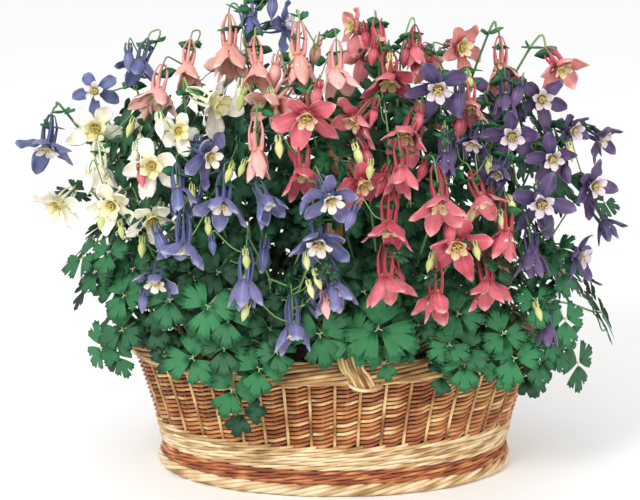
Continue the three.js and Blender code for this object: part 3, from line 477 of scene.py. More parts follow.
BLOOMS = {
    "white": [
        [[-236, 361, -5, 5, 5, 1], [-224, 322, 15, -55, 40, 0.9]],
        [[-276, 285, -30, -20, 15, 0.9]],
        [[-208, 304, -15, -10, 15, 0.95], [-176, 290, 20, -20, 15, 0.85]],
        [[-172, 344, -5, 5, 10, 0.95], [-148, 374, 20, 10, 20, 0.75]],
        [[-114, 397, 55, -15, 20, 1.05]],
        [[-200, 338, 195, -15, 15, 1]],
    ],
    "indigo": [
        [[-240, 392, -10, 12, 5, 0.8], [-194, 417, -20, -50, 20, 0.9]],
        [[-290, 332, -10, -55, 10, 1.05]],
    ],
    "blue": [
        [[-117, 353, 40, -5, 15, 0.95], [-103, 314, 0, -50, 20, 1], [-150, 322, 10, -60, 60, 0.85]],
        [[-153, 277, 0, -70, 20, 1], [-172, 232, -5, -35, 25, 0.9]],
        [[-68, 318, 30, -40, 60, 0.85]],
        [[-10, 326, 20, -30, 15, 1], [-12, 283, 0, -30, 20, 1.05]],
        [[-2, 243, 30, -55, 60, 0.95]],
        [[-86, 238, -10, -75, 60, 1], [-40, 192, 5, -60, 45, 1]],
        [[-136, 290, 185, -40, 25, 1], [-78, 330, 175, -20, 15, 1]],
    ],
    "pink": [
        [[-172, 400, -10, -45, 30, 1], [-140, 424, -10, -60, 60, 0.85]],
        [[-109, 436, 0, -65, 35, 1.05], [-74, 428, 10, -60, 60, 0.9]],
        [[-30, 434, 0, -70, 55, 1.05], [12, 421, 0, -60, 35, 1]],
        [[-53, 398, -35, -30, 20, 1.05], [-71, 358, 0, -80, 60, 1]],
        [[-104, 402, 180, -20, 25, 1], [-34, 384, 175, -45, 60, 1]],
    ],
    "sky": [[[-46, 460, 75, 10, 10, 0.9], [-82, 462, 0, -60, 60, 0.8]]],
    "red": [
        [[-22, 384, 0, -25, 15, 1.1], [-22, 344, 0, -60, 40, 1.05]],
        [[24, 386, -40, -30, 20, 1], [72, 340, 10, -60, 60, 0.95]],
        [[78, 440, 0, -50, 60, 0.85], [52, 414, 0, -45, 12, 1.1]],
        [[60, 374, -30, -40, 20, 1.05]],
        [[90, 318, 10, -50, 25, 1.1], [130, 322, 30, -50, 25, 0.9]],
        [[32, 330, 25, -25, 15, 0.95], [56, 294, 0, -65, 30, 1.05]],
        [[50, 252, 0, -70, 25, 1.05]],
        [[108, 284, 0, -15, 10, 1.1], [162, 280, 0, -70, 60, 1]],
        [[100, 238, 0, -60, 40, 1], [142, 234, 15, -60, 30, 1]],
        [[38, 316, 170, -30, 20, 1], [96, 342, 170, -20, 20, 1]],
    ],
    "coral": [
        [[17, 457, -60, 15, 20, 0.85], [44, 448, 10, -40, 60, 0.85]],
        [[127, 436, 30, 5, 20, 0.95], [118, 398, 0, -55, 35, 0.9]],
        [[163, 418, 0, -60, 60, 0.95]],
        [[226, 414, 30, -30, 20, 0.95]],
        [[32, 408, 180, -20, 20, 1], [98, 410, 165, -30, 60, 1]],
    ],
    "purple": [
        [[90, 404, 0, -15, 12, 1.05], [98, 362, 0, -60, 60, 0.8]],
        [[160, 394, 0, -55, 60, 0.85], [205, 390, 5, 5, 8, 0.95]],
        [[132, 360, -20, -40, 20, 0.8], [166, 358, 0, 0, 8, 1]],
        [[236, 360, 40, -5, 15, 0.85], [204, 344, 10, -10, 10, 0.9]],
        [[146, 338, -30, -30, 60, 0.8], [198, 306, 0, -5, 12, 1.05]],
        [[256, 309, 35, 0, 10, 0.95], [270, 343, 55, -20, 25, 0.85]],
        [[242, 247, 55, -10, 15, 0.95], [266, 272, 50, -50, 60, 0.8]],
        [[208, 178, 0, -80, 60, 0.8]],
        [[188, 256, 10, -60, 60, 0.9]],
        [[168, 366, 165, -15, 12, 1], [212, 306, 155, -25, 60, 1]],
    ],
}
CROWNS = {
    "white": (-128, -30),
    "indigo": (-112, 34),
    "blue": (-62, -52),
    "pink": (-50, 34),
    "sky": (-22, 72),
    "red": (52, -52),
    "coral": (48, 44),
    "purple": (126, -6),
}
DOME_X, DOME_Y, DOME_Z, DOME_MIDDLE = 290, 168, 205, 250
BELL = 42  # sepals that lean forward further than this make a bell
BELL_REACH, OPEN_REACH = 20, 25  # radius that a bloom of size 1 keeps free
FACE = 8  # from a bloom's hub forward to its middle
PUSHES = 60
SIDEWAYS = 0.4  # of a push, as blooms give way to each other in depth first


def dome_depth(x, z):
    """Half depth of the plants' outer shape, an ellipsoid over the rim."""
    return DOME_Y * math.sqrt(max(1 - (x / DOME_X) ** 2 - ((z - DOME_MIDDLE) / DOME_Z) ** 2, 0))


def facing_of(yaw, pitch):
    """The way that a yaw and a pitch point, in degrees: yaw 0 is -Y."""
    yaw, pitch = math.radians(yaw), math.radians(pitch)
    return Vector((math.sin(yaw) * math.cos(pitch), -math.cos(yaw) * math.cos(pitch), math.sin(pitch)))


blooms = []
for plant, rows in BLOOMS.items():
    for row, group in enumerate(rows):
        for x, z, yaw, pitch, tilt, size in group:
            y = dome_depth(x, z) * (1 if yaw > 100 else -1)
            reach = (BELL_REACH if tilt > BELL else OPEN_REACH) * size
            bloom = {"plant": plant, "row": row, "middle": Vector((x, y, z)), "tilt": tilt, "size": size}
            bloom.update(facing=facing_of(yaw, pitch), reach=reach)
            blooms.append(bloom)
# blooms that would touch push each other apart
for push in range(PUSHES):
    for i, a in enumerate(blooms):
        for b in blooms[i + 1 :]:
            apart = b["middle"] - a["middle"]
            short = a["reach"] + b["reach"] - apart.length
            if short <= 0:
                continue
            apart.normalize()
            apart = Vector((SIDEWAYS * apart.x, apart.y, SIDEWAYS * apart.z)) * short * 0.5
            a["middle"] -= apart
            b["middle"] += apart
for i, bloom in enumerate(blooms):
    bloom["hub"] = bloom["middle"] - bloom["facing"] * FACE * bloom["size"]
    bloom["roll"] = math.radians(72 * scatter(i, 3))
    bloom["index"] = i

# ---- Colours of the blooms -----------------------------------------------
# Sepals and spurs are thin, soft and slightly waxy, with fine veins from base to tip. Cups are
# paler, yellow inside, and on blue and violet blooms they have a dark throat.


def petal_skin(name, base, body, other, tip, margin_and_highlight, rough=0.5, border=0.45):
    """A petal's skin: base to tip along it, a pale border, a painted highlight along the midline, and a hue
    that varies.
    """
    material, shader = new_material(name)
    grain, tone, across, along = marks(material)
    # 0 at the borders, 0.5 at the midline
    aside = add(material, "Math", {0: across, 1: 0.5}, operation="PINGPONG").outputs[0]
    soft = {"interpolation_type": "SMOOTHSTEP"}
    near = add(material, "MapRange", {0: along, 1: 0.05, 2: 0.45}, **soft)
    far = add(material, "MapRange", {0: along, 1: 0.78, 2: 1.0}, **soft)
    rim = add(material, "MapRange", {0: aside, 1: 0.11, 2: 0.0, 4: border}, **soft)
    # painted highlight: the midline is made paler, in the same pale colour as the real pale border
    midline_highlight = add(material, "MapRange", {0: aside, 1: 0.36, 2: 0.5, 4: 0.14}, **soft)
    pale = add(material, "Math", {0: rim.outputs[0], 1: midline_highlight.outputs[0]}, operation="MAXIMUM")
    hue = add(material, "Mix", {0: tone, 6: linear(body), 7: linear(other)}, data_type="RGBA")
    inner = add(material, "Mix", {0: near.outputs[0], 6: linear(base), 7: hue.outputs[2]}, data_type="RGBA")
    outer = add(material, "Mix", {0: far.outputs[0], 6: inner.outputs[2], 7: linear(tip)}, data_type="RGBA")
    coats = {0: pale.outputs[0], 6: outer.outputs[2], 7: linear(margin_and_highlight)}
    edged = add(material, "Mix", coats, data_type="RGBA")
    # veins stand about 1 mm apart at the widest place and run together at both ends
    vein_map = add(material, "Mapping", {"Vector": grain, "Scale": (16.0, 1.3, 1.0)})
    vein = add(material, "TexNoise", {"Vector": vein_map.outputs[0], "Scale": 1.0, "Detail": 2.0})
    place = add(material, "TexCoord", {}).outputs["Object"]
    # soft blotches of 8 to 15 mm
    blotch = add(material, "TexNoise", {"Vector": place, "Scale": 90.0, "Detail": 2.0})
    mottle = add(material, "Math", {0: vein.outputs["Fac"], 1: blotch.outputs["Fac"]}, operation="ADD")
    level = add(material, "MapRange", {0: mottle.outputs[0], 1: 0.75, 2: 1.25, 3: 0.8, 4: 1.16})
    coats = {0: 1.0, 6: edged.outputs[2], 7: level.outputs[0]}
    skin = add(material, "Mix", coats, data_type="RGBA", blend_type="MULTIPLY")
    bump = add(material, "Bump", {"Height": vein.outputs["Fac"], "Strength": 0.3, "Distance": 0.0006})
    dress(material, shader, skin, bump, rough)
    shader.inputs["Sheen Weight"].default_value = 0.12
    shader.inputs["Subsurface Weight"].default_value = 0.1
    shader.inputs["Subsurface Radius"].default_value = (0.004, 0.003, 0.003)
    return material


PETALS = {
    "white": petal_skin("cream_white_sepal", "#e2e4be", "#f3eee2", "#f0e8d6", "#f5f0e8", "#f8f5ee"),
    "indigo": petal_skin("indigo_sepal", "#40467a", "#505a8c", "#5e6696", "#7c84ac", "#9ca4c2"),
    "blue": petal_skin("soft_blue_sepal", "#42487a", "#505a8c", "#6e6898", "#9e9fbe", "#b2b4ca"),
    "pink": petal_skin("salmon_pink_sepal", "#dc8c88", "#e8aea8", "#e29a8a", "#f0ccc0", "#f2d6cc"),
    "sky": petal_skin("deep_blue_sepal", "#3e4478", "#4c568a", "#5a6296", "#7a80a8", "#9499ba"),
    "red": petal_skin("rose_red_sepal", "#a01c36", "#c23e54", "#d66e78", "#e8a09e", "#eeb4b0"),
    "coral": petal_skin("coral_sepal", "#c8465a", "#dc7a7c", "#e2928a", "#f0c0b6", "#f2cac2"),
    "purple": petal_skin("violet_sepal", "#2a1f4c", "#3c3060", "#5a4069", "#6f5f88", "#887a9f"),
}
CUPS = {
    "white": petal_skin("cream_cup", "#e2cc48", "#ece09c", "#f0e6b8", "#f2ead4", "#f4eede"),
    "indigo": petal_skin(
        "white_cup_dark_throat", "#23254e", "#d8ccd2", "#e6dcda", "#eee4de", "#efe6e0", border=0.9
    ),
    "blue": petal_skin(
        "white_cup_lilac_throat", "#565184", "#e2d8d4", "#ece2d0", "#f2eade", "#f0e8e0", border=0.8
    ),
    "pink": petal_skin("butter_cup", "#c48e4a", "#e2c48e", "#e8cca8", "#ecd8b4", "#eedcc4"),
    "sky": petal_skin("pale_blue_cup", "#2b2d64", "#ccccde", "#dcdae6", "#e8e4ea", "#e8e4ea", border=0.8),
    "red": petal_skin("cream_cup_red_base", "#b05848", "#dcb880", "#e4b8a0", "#eedcb4", "#f2e2c2"),
    "coral": petal_skin("yellow_cup", "#cf9450", "#e6cc88", "#ecd6b0", "#f0e4c0", "#f4ead0"),
    "purple": petal_skin(
        "white_cup_violet_throat", "#2c2050", "#c8b8c8", "#dccccc", "#e8dcd8", "#ece2de", border=0.9
    ),
}
anther = petal_skin("yellow_anther", "#e2cc60", "#f6e878", "#f8ec92", "#faf0a4", "#faf0a4", 0.7)


def green_skin(name, dark, light, vein_shade, margin_and_highlight, veins=0.22):
    """A leaf's skin: matt, with pale veins that fan out from its stalk and a painted highlight along its
    thin edge.
    """
    material, shader = new_material(name)
    grain, tone, across, along = marks(material)
    place = add(material, "TexCoord", {}).outputs["Object"]
    # soft clouds of about 20 mm
    blotch = add(material, "TexNoise", {"Vector": place, "Scale": 45.0, "Detail": 3.0})
    mixed = add(material, "Math", {0: tone, 1: blotch.outputs["Fac"]}, operation="ADD")
    level = add(material, "MapRange", {0: mixed.outputs[0], 1: 0.3, 2: 1.5})
    flesh = add(material, "Mix", {0: level.outputs[0], 6: linear(dark), 7: linear(light)}, data_type="RGBA")
    # a vein every 7 degrees of the leaflet's fan, thinning outwards
    fan = add(material, "Math", {0: across, 1: 17.0}, operation="MULTIPLY")
    swing = add(material, "Math", {0: fan.outputs[0], 1: 0.5}, operation="PINGPONG")
    vein = add(material, "MapRange", {0: swing.outputs[0], 1: 0.0, 2: 0.12, 3: 1.0, 4: 0.0})
    fade = add(material, "MapRange", {0: along, 1: 0.02, 2: 0.95, 3: veins, 4: 0.05})
    line = add(material, "Math", {0: vein.outputs[0], 1: fade.outputs[0]}, operation="MULTIPLY")
    coats = {0: line.outputs[0], 6: flesh.outputs[2], 7: linear(vein_shade)}
    lined = add(material, "Mix", coats, data_type="RGBA")
    # painted highlight: a thin pale line along a leaflet's outer edge, where along nears 1
    edge = add(material, "MapRange", {0: along, 1: 0.965, 2: 0.995, 4: 0.55})
    coats = {0: edge.outputs[0], 6: lined.outputs[2], 7: linear(margin_and_highlight)}
    skin = add(material, "Mix", coats, data_type="RGBA")
    groove = {"Height": vein.outputs[0], "Strength": 0.08, "Distance": 0.0005}
    bump = add(material, "Bump", groove, invert=True)
    dress(material, shader, skin, bump, 0.6)
    return material


leaf_green = green_skin("columbine_leaf", "#104b26", "#227441", "#5ca46e", "#66a874")
# the same leaf again, darker: painted shade for the leaves that stand in the plants' shade
leaf_painted_shade = green_skin("columbine_leaf_painted_shade", "#0b371e", "#195a33", "#34784a", "#407e52")
stalk_green = green_skin("columbine_stalk", "#3c7040", "#82a464", "#82a464", "#82a464", 0.0)
pale_green = green_skin("pale_leaf_stalk", "#88a46c", "#c0d09c", "#c8d8a8", "#c8d8a8", 0.0)
bud_green = green_skin("columbine_bud", "#98a856", "#dcd898", "#e8e0b4", "#e8e0b4", 0.5)

# ---- Blooms --------------------------------------------------------------
# A columbine has five coloured sepals and, between them, five petals. Each petal is a rounded
# cup in front and a long hollow spur behind, which ends in a nectar knob. Stamens fill the middle.

SEPAL, SEPAL_WIDE, CUP, CUP_WIDE, SPUR = 29, 9.0, 15, 4.4, 30  # lengths and half widths
SEPAL_THICK, CUP_THICK = 0.55, 0.5
SAG = 5  # how far a sepal's tip hangs down of its own weight
NOD = 12  # degrees that the sepals of an open, hanging bloom lean forward more
BELL_FLARE = 24  # degrees that the cups of a bell open
STAMENS, STAMEN_TURN = 15, 2.4  # the turn from one to the next, in radians


def blade(bunch, line, side, width, arc, thick, tone, finish, columns, ruffle=0.0, phase=0.0):
    """A thin blade along a line: side is its width's way, arc how far it is cupped, in radians."""
    ahead = unit(np.gradient(line, axis=0))
    side = np.broadcast_to(side, line.shape)
    side = unit(side - ahead * np.einsum("ij,ij->i", side, ahead)[:, None])
    up = np.cross(ahead, side)
    u = np.linspace(-1, 1, columns)
    t = np.linspace(0, 1, len(line))[:, None]
    arc = np.broadcast_to(arc, len(line))[:, None]
    x = (np.sin(arc * u) / np.sin(arc) * width[:, None])[..., None]
    wave = ruffle * u**2 * np.sin(9.0 * t + 1.6 * u + phase)
    lift = (((1 - np.cos(arc * u)) / np.sin(arc) + wave) * width[:, None])[..., None]
    middle = line[:, None] + x * side[:, None] + lift * up[:, None]
    half = (0.5 * thick * (1 - 0.75 * u * u))[None, :, None] * up[:, None]
    rings = np.concatenate([middle + half, (middle - half)[:, -2:0:-1]], axis=1)
    across = 0.5 + 0.5 * np.concatenate([u, u[-2:0:-1]])
    bunch.skin(rings, across, np.linspace(0, 1, len(line)), tone, finish)


def lean(start, out, angles, length):
    """A line from a point that leans forward by the angles, in degrees, as it goes out."""
    a = np.radians(angles)
    steps = np.outer(np.cos(a), [math.cos(out), math.sin(out), 0])
    steps[:, 2] = np.sin(a)
    steps *= length / (len(angles) - 1)
    return np.asarray(start, float) + np.concatenate([[[0, 0, 0]], np.cumsum(steps[:-1], axis=0)])


def polar(a, r, z):
    """A point at an angle, a radius and a height."""
    return np.array([r * math.cos(a), r * math.sin(a), z])


# half widths of sepals along them, for round ends and for pointed ones
SEPAL_T = np.linspace(0, 1, 10) ** 0.9
SEPAL_AT = [0, 0.08, 0.2, 0.35, 0.5, 0.65, 0.8, 0.9, 0.97, 1]
BLUNT_SEPAL = np.interp(SEPAL_T, SEPAL_AT, [0.24, 0.34, 0.58, 0.84, 0.98, 1, 0.92, 0.74, 0.42, 0.14])
KEEN_SEPAL = np.interp(SEPAL_T, SEPAL_AT, [0.28, 0.42, 0.74, 0.96, 1, 0.9, 0.64, 0.4, 0.17, 0.05])
# by plant: how blunt its sepals are, their width, how far they bend forward to their tips in
# degrees, the cups' size, and how far the cups open in degrees. Wide ones show as five spoons.
FORMS = {
    "white": [0.9, 1, 20, 1.3, 46],
    "indigo": [1, 0.9, 25, 1, 64],
    "blue": [0.8, 0.88, 45, 1, 58],
    "pink": [0.35, 1, -12, 1, 34],
    "sky": [0.5, 0.88, 20, 1, 54],
    "red": [0.3, 1, 0, 0.9, 34],
    "coral": [0.4, 1, 0, 0.95, 38],
    "purple": [0.5, 0.82, 30, 1, 54],
}
CUP_T = np.linspace(0, 1, 8)
CUP_AT = [0, 0.2, 0.4, 0.6, 0.75, 0.88, 0.96, 1]
CUP_SHAPE = np.interp(CUP_T, CUP_AT, [0.48, 0.56, 0.78, 0.96, 1, 0.86, 0.55, 0.2])
SPUR_AT = [0, 0.2, 0.45, 0.7, 0.88, 0.95, 1]
SPUR_GIRTH = [2.3, 2.2, 1.3, 0.8, 0.6, 0.95, 0.5]


def sepal_body(bunch, bloom, key, at, down, tone, finish):
    """A sepal at so many degrees. It leans and bends forward, twists a little and sags."""
    blunt, slim, curl = FORMS[bloom["plant"]][:3]
    bell = bloom["tilt"] > BELL
    out = math.radians(at + sway(key, 32, 20))
    nod = NOD if bloom["facing"].z < -0.6 and not bell else 0
    bow = bloom["tilt"] + nod - 0.5 * curl + sway(key, 33, 38)
    bend = curl + sway(key, 34, 54)
    long = SEPAL * (0.92 + 0.14 * scatter(key, 49))
    line = lean(polar(out, 3.6, 0.4), out, bow + bend * SEPAL_T, long)
    line = line + SAG * down * SEPAL_T[:, None] ** 2
    twist = sway(key, 35, 1.3) * SEPAL_T[:, None]
    side = np.array([-math.sin(out), math.cos(out), 0])
    wide = side * np.cos(twist) + np.array([0, 0, 1.0]) * np.sin(twist)
    width = SEPAL_WIDE * slim * (blunt * BLUNT_SEPAL + (1 - blunt) * KEEN_SEPAL)
    width = width * (0.9 if bell else 1) * (0.96 + 0.12 * scatter(key, 36))
    arc = 0.45 + (0.5 if bell else 0.45 * scatter(key, 37))
    ruffle = 0.16 + 0.16 * scatter(key, 45)
    blade(bunch, line, wide, width, arc, SEPAL_THICK, tone, finish, 9, ruffle, 6.3 * scatter(key, 46))


def petal_body(bunch, bloom, key, at, tone, cup, spur):
    """A petal at so many degrees: a spoon in front, and a spur behind that hooks inwards."""
    size, opening = FORMS[bloom["plant"]][3:]
    out = math.radians(at + sway(key, 38, 5))
    side = np.array([-math.sin(out), math.cos(out), 0])
    flare = BELL_FLARE if bloom["tilt"] > BELL else opening + sway(key, 47, 12)
    line = lean(polar(out, 3.8, 0.8), out, 80 - flare * CUP_T**0.8, CUP * 0.5 * (1 + size))
    width, arc = CUP_WIDE * size * CUP_SHAPE, 1.15 - 0.35 * CUP_T
    blade(bunch, line, side, width, arc, CUP_THICK, tone, cup, 7, 0.12, 6.3 * scatter(key, 48))
    hook = 2.5 + 4 * scatter(bloom["index"], 39)
    bend = [(4.7, 3.4), (5.6, 0), (6.6, -8), (6.9, -15), (6.6 - hook * 0.3, -21)]
    bend += [(6.2 - hook * 0.7, -SPUR + 3), (5.0 - hook, -SPUR + 2)]
    path = smooth([polar(out, r, z) for r, z in bend], 2)
    girth = np.interp(np.linspace(0, 1, len(path)), SPUR_AT, SPUR_GIRTH)
    bunch.rod(path, girth, 5, tone, spur)


def bloom_body(bunch, bloom, sepal, cup, stamen, stalk):
    """One bloom, facing +Z from its hub, then turned to its place."""
    i, bell = bloom["index"], bloom["tilt"] > BELL
    turn = Vector((0, 0, 1)).rotation_difference(bloom["facing"])
    turn = turn @ Quaternion((0, 0, 1), bloom["roll"])
    bunch.turn = np.array(turn.to_matrix()) * bloom["size"]
    bunch.origin = np.array(bloom["hub"])
    down = np.array(turn.inverted() @ Vector((0, 0, -1)))
    tone = scatter(i, 31)
    for k in range(5):
        sepal_body(bunch, bloom, i * 5 + k, 72 * (k + 0.5), down, tone, sepal)
        petal_body(bunch, bloom, i * 5 + k, 72 * k, tone, cup, sepal)
    for k in range(STAMENS):
        a = STAMEN_TURN * k
        r = 0.4 + 1.5 * math.sqrt(k / STAMENS)
        tip = (CUP - 1 if bell else CUP - 3) - 4 * scatter(k, 40)
        spread = 1.9 * r
        path = [polar(a, r, 1.5), polar(a, r + 0.2 * spread, 0.6 * tip)]
        path += [polar(a, spread, tip - 1.8), polar(a, spread, tip - 1.3)]
        path += [polar(a, spread * 1.02, tip), polar(a, spread * 1.02, tip + 0.4)]
        bunch.rod(path, np.array([0.3, 0.3, 0.35, 0.95, 0.95, 0.3]), 3, scatter(k, 41), stamen)
    floor = [polar(0, 0, z) for z in (0.2, 1.0, 2.2, 2.8)]
    bunch.rod(floor, np.array([4.4, 4.9, 3.6, 1.0]), 10, tone, stamen)
    knob = [polar(0, 0, z) for z in (-3.4, -2.4, -0.6, 0.4)]
    bunch.rod(knob, np.array([1.0, 2.6, 3.9, 3.0]), 8, tone, stalk)
    bunch.turn, bunch.origin = np.eye(3), np.zeros(3)


# ---- Stalks --------------------------------------------------------------
# A stalk leaves each bloom behind, between its spurs. Behind a nodding bloom it turns over in a
# hook. The stalks of a spray meet in a fork, and each spray's stalk runs down to its own crown.

BEHIND = SPUR + 7  # from a bloom's hub back to where its stalk turns
HANGING = -0.55  # a bloom whose way points down further than this hangs on a hook
FORK = 25, 30, 52  # mm from behind the blooms to a fork's parts, towards the crown


def behind(bloom, distance):
    """A point so far behind a bloom of size 1."""
    return bloom["hub"] - bloom["facing"] * distance * bloom["size"]


def stalk_head(bloom, crown):
    """Points of a stalk behind its bloom, on its way to the crown."""
    top = behind(bloom, BEHIND)
    inward = Vector((crown.x - top.x, crown.y - top.y, 0)).normalized() * bloom["size"]
    if bloom["facing"].z > HANGING:
        return [behind(bloom, 24), top + inward * 7]
    return [behind(bloom, 28), top + inward * 3, top + inward * 11 + Vector((0, 0, -4))]


stalk_ends = []
stem_lines = []  # the line of every stalk, for buds and small leaves to grow from
for plant, rows in BLOOMS.items():
    crown = Vector((*CROWNS[plant], SOIL_TOP))
    for row in range(len(rows)):
        group = [b for b in blooms if b["plant"] == plant and b["row"] == row]
        flowers = Bunch()
        if len(group) == 1:
            routes = [[group[0]["hub"], *stalk_head(group[0], crown)]]
            stalk_ends.append((plant, [behind(group[0], 2.1), *stalk_head(group[0], crown)]))
        else:
            middle = sum((behind(b, BEHIND) for b in group), Vector()) / len(group)
            inward = (crown - middle).normalized()
            forks = [middle + inward * d for d in FORK]
            routes = [[b["hub"], *stalk_head(b, crown), forks[0], forks[1]] for b in group]
            stalk_ends.append((plant, [forks[1], forks[2]]))
        for bloom, route in zip(group, routes):
            bloom_body(flowers, bloom, 0, 1, 2, 3)
            line = smooth(route, 4)
            if len(group) > 1:
                flowers.rod(line, np.linspace(0.75, 1.0, len(line)), 6, scatter(bloom["index"], 42), 3)
                stem_lines.append((plant, line))
        kind = "spray" if len(group) > 1 else "bloom"
        finishes = [PETALS[plant], CUPS[plant], anther, stalk_green]
        slot = {"white": "cream", "indigo": "blue", "sky": "blue"}.get(plant, plant)
        name = f"{plant}_{row + 1}"
        flowers.piece(f"columbine_{name}", finishes, f"petal_{slot}", f"{kind}_{name}")

# ---- Leaves --------------------------------------------------------------
# A leaf has three leaflets on short pale stalks, each a wedge cut into three lobes with blunt
# round teeth. It is matt, smooth, thin and gently folded. The old leaves hang over the rim.

# Leaves seen from the front, [x, z, yaw, pitch, size, roll]. At a roll of 0 the middle leaflet
# hangs straight down, and 90 turns it to the right.
LEAVES = [
    [-221, 251, -35, 30, 0.63, 10], [-250, 237, -60, 25, 0.71, -40], [-235, 228, -45, 20, 0.65, -15],
    [-206, 210, -30, 30, 0.71, -25], [-209, 174, -30, 25, 0.71, -50], [-232, 151, -45, 10, 0.71, -35],
    [-213, 146, -30, 5, 0.6, 30], [-159, 213, -12, 32, 0.81, 0], [-122, 210, -8, 30, 0.84, -10],
    [-103, 198, 0, 30, 0.71, 0], [-138, 156, -12, 30, 0.84, -75], [-107, 169, -5, 30, 0.74, 5],
    [-73, 150, 0, 28, 0.74, -15], [-100, 127, -2, 12, 0.76, -22], [-56, 168, 5, 30, 0.6, 20],
    [-15, 187, 0, 15, 0.87, 5], [17, 180, 0, 35, 0.81, 165], [41, 192, 5, 35, 1.08, 60],
    [47, 158, 5, 20, 0.5, 10], [118, 203, 8, 32, 0.71, 75], [110, 172, 5, 28, 0.62, -60],
    [127, 166, 10, 30, 0.68, 40], [125, 151, 8, 25, 0.71, 0], [163, 178, 15, 30, 0.71, 195],
    [175, 151, 20, 28, 0.79, -20], [161, 139, 20, 20, 0.55, 20], [196, 204, 20, 30, 0.68, 0],
    [227, 181, 40, 25, 0.76, -10], [210, 162, 35, 25, 0.6, 10], [218, 150, 45, 20, 0.66, 30],
    [201, 143, 30, 15, 0.71, -20], [243, 130, 45, 5, 0.79, -5], [223, 232, 35, 25, 0.71, -5],
]
# Leaves in the shade behind them, whose green has that shade painted in.
DEEP_LEAVES = [
    [-198, 233, -20, 30, 0.63, 15], [-177, 176, -15, 30, 0.7, 25], [-113, 238, -5, 30, 0.7, -20],
    [-49, 213, 5, 30, 0.6, 165], [-63, 193, 0, 30, 0.55, -10], [28, 221, 10, 30, 0.66, 140],
    [70, 192, 5, 30, 0.66, 80], [92, 212, 5, 30, 0.6, -10],
]
DEEP = 0.83  # as far out as the others, times this
FAR_LEAVES, HIGH_LEAVES = 12, 14
CROWN = 14  # radius of a plant's crown, round which its stalks grow
SPREAD_X, SPREAD_Y = 272, 146
LEAF = 40  # reach of a leaf of size 1
LEAFLET_TURNS = (0, 114, 246)
LOBE, FAN = 35, 57  # degrees that one lobe takes, and from a leaflet's middle to its side
LEAFLET_FOOT = 2.8  # from a leaf's hub to its leaflets' feet, at size 1
STEM_LEAVES = 41  # mm from one small leaf on a stalk to the next
SMALL_FROM, BRACTS_FROM = 150, 300  # heights from which small leaves and bracts grow
BRACT_SHAPE = np.array([0.3, 0.85, 1, 0.9, 0.55, 0.08])


def leaflet_edge(degrees):
    """Reach of a leaflet at an angle from its middle: three round lobes with three round teeth each."""
    d = np.abs(degrees)
    beside = d - np.where(d < LOBE / 2, 0, LOBE)
    cut = 1 - 0.30 * np.exp(-(((d - LOBE / 2) / 2.4) ** 2))
    teeth = 1 - 0.08 * (1 - np.abs(np.cos(np.pi * beside * 3 / LOBE)))
    lobe = 1 - 0.12 * (beside / LOBE * 2) ** 2
    side_lobe = 1 - 0.16 * np.clip((d - LOBE / 2) / 8, 0, 1)
    end = np.clip((FAN - d) / 10, 0.05, 1) ** 0.5
    return cut * teeth * lobe * side_lobe * end


def leaflet(bunch, base, ahead, normal, reach, key, tone, finish, rows):
    """A fan of a leaf, arched down to its edge, with a soft fold along each lobe."""
    side = np.cross(ahead, normal)
    degrees = np.linspace(-FAN, FAN, rows)
    edge = leaflet_edge(degrees) * reach
    a = np.radians(degrees)[:, None, None]
    fine = rows > 30
    # from the foot out to the edge, and back underneath
    s = np.array([0.05, 0.4, 0.75, 1.0, 0.6] if fine else [0.06, 0.6, 1.0, 0.5])[None, :, None]
    sign = np.array([1, 1, 1, 0, -1] if fine else [1, 1, 0, -1])[None, :, None]
    r = s * edge[:, None, None]
    out = r / reach
    fold = 0.01 * np.cos(np.radians(degrees * 360 / LOBE))[:, None, None] * out * reach
    droop = -(0.04 + 0.12 * scatter(key, 51)) * reach * out**2
    wave = 0.06 * reach * out**2 * np.sin(2.3 * a + 6.3 * scatter(key, 52))
    cup = 0.26 * (scatter(key, 53) - 0.45) * reach * (np.abs(np.sin(a)) * out) ** 2
    lift = fold + droop + wave + cup + 0.22 * sign
    rings = base + r * (np.cos(a) * ahead + np.sin(a) * side) + lift * normal
    across = (0.5 + 0.48 * degrees / FAN)[:, None]
    bunch.skin(rings, across, np.broadcast_to(s[0, :, 0], rings.shape[:2]), tone, finish)


def compound_leaf(bunch, hub, normal, tipward, size, key, finishes, rows):
    """Three leaflets on short stalks from one point, the middle one tipward."""
    hub, normal, tipward = (np.array(v, float) for v in (hub, normal, tipward))
    side = np.cross(tipward, normal)
    tone = scatter(key, 54)
    for k, turn in enumerate(LEAFLET_TURNS):
        a = math.radians(turn + sway(key * 3 + k, 55, 12))
        way = math.cos(a) * tipward + math.sin(a) * side
        tip = 0.35 * (scatter(key * 3 + k, 56) - 0.3)
        face = unit(normal - tip * way)
        way = unit(way - face * (way @ face))
        base = hub + way * LEAFLET_FOOT * size
        foot = [hub - way * 0.4, hub + way * 1.6 * size, base + way * 1.5]
        bunch.rod(foot, 0.5, 4, 0.5, finishes[1])
        reach = LEAF * size - LEAFLET_FOOT * size - (0 if k == 0 else 1.5 * size)
        leaflet(bunch, base, way, face, reach, key * 3 + k, tone, finishes[0], rows)


def tipward_of(normal, roll):
    """The way that a leaf's middle leaflet points: down in the leaf's own plane, then rolled."""
    down = (Vector((0, 0, -1)) + normal * normal.z).normalized()
    return Quaternion(normal, math.radians(roll)) @ down


leaves = []


def place_leaf(hub, normal, size, roll, rank):
    """Add a leaf to the list of the large ones."""
    leaf = {"hub": hub, "normal": normal, "size": size, "tipward": tipward_of(normal, roll)}
    leaf.update(index=len(leaves), rank=rank)
    leaves.append(leaf)


def round_leaf(turn, spread, z, pitch, size, rank):
    """A leaf at a turn of the oval, at so much of the leaves' spread, that faces outwards."""
    hub = Vector((SPREAD_X * spread * math.cos(turn), SPREAD_Y * spread * math.sin(turn), z))
    yaw = 90 + math.degrees(math.atan2(hub.y / 0.6, hub.x))
    place_leaf(hub, facing_of(yaw, pitch), size, sway(math.floor(z + 0.5), 5, 60), rank)


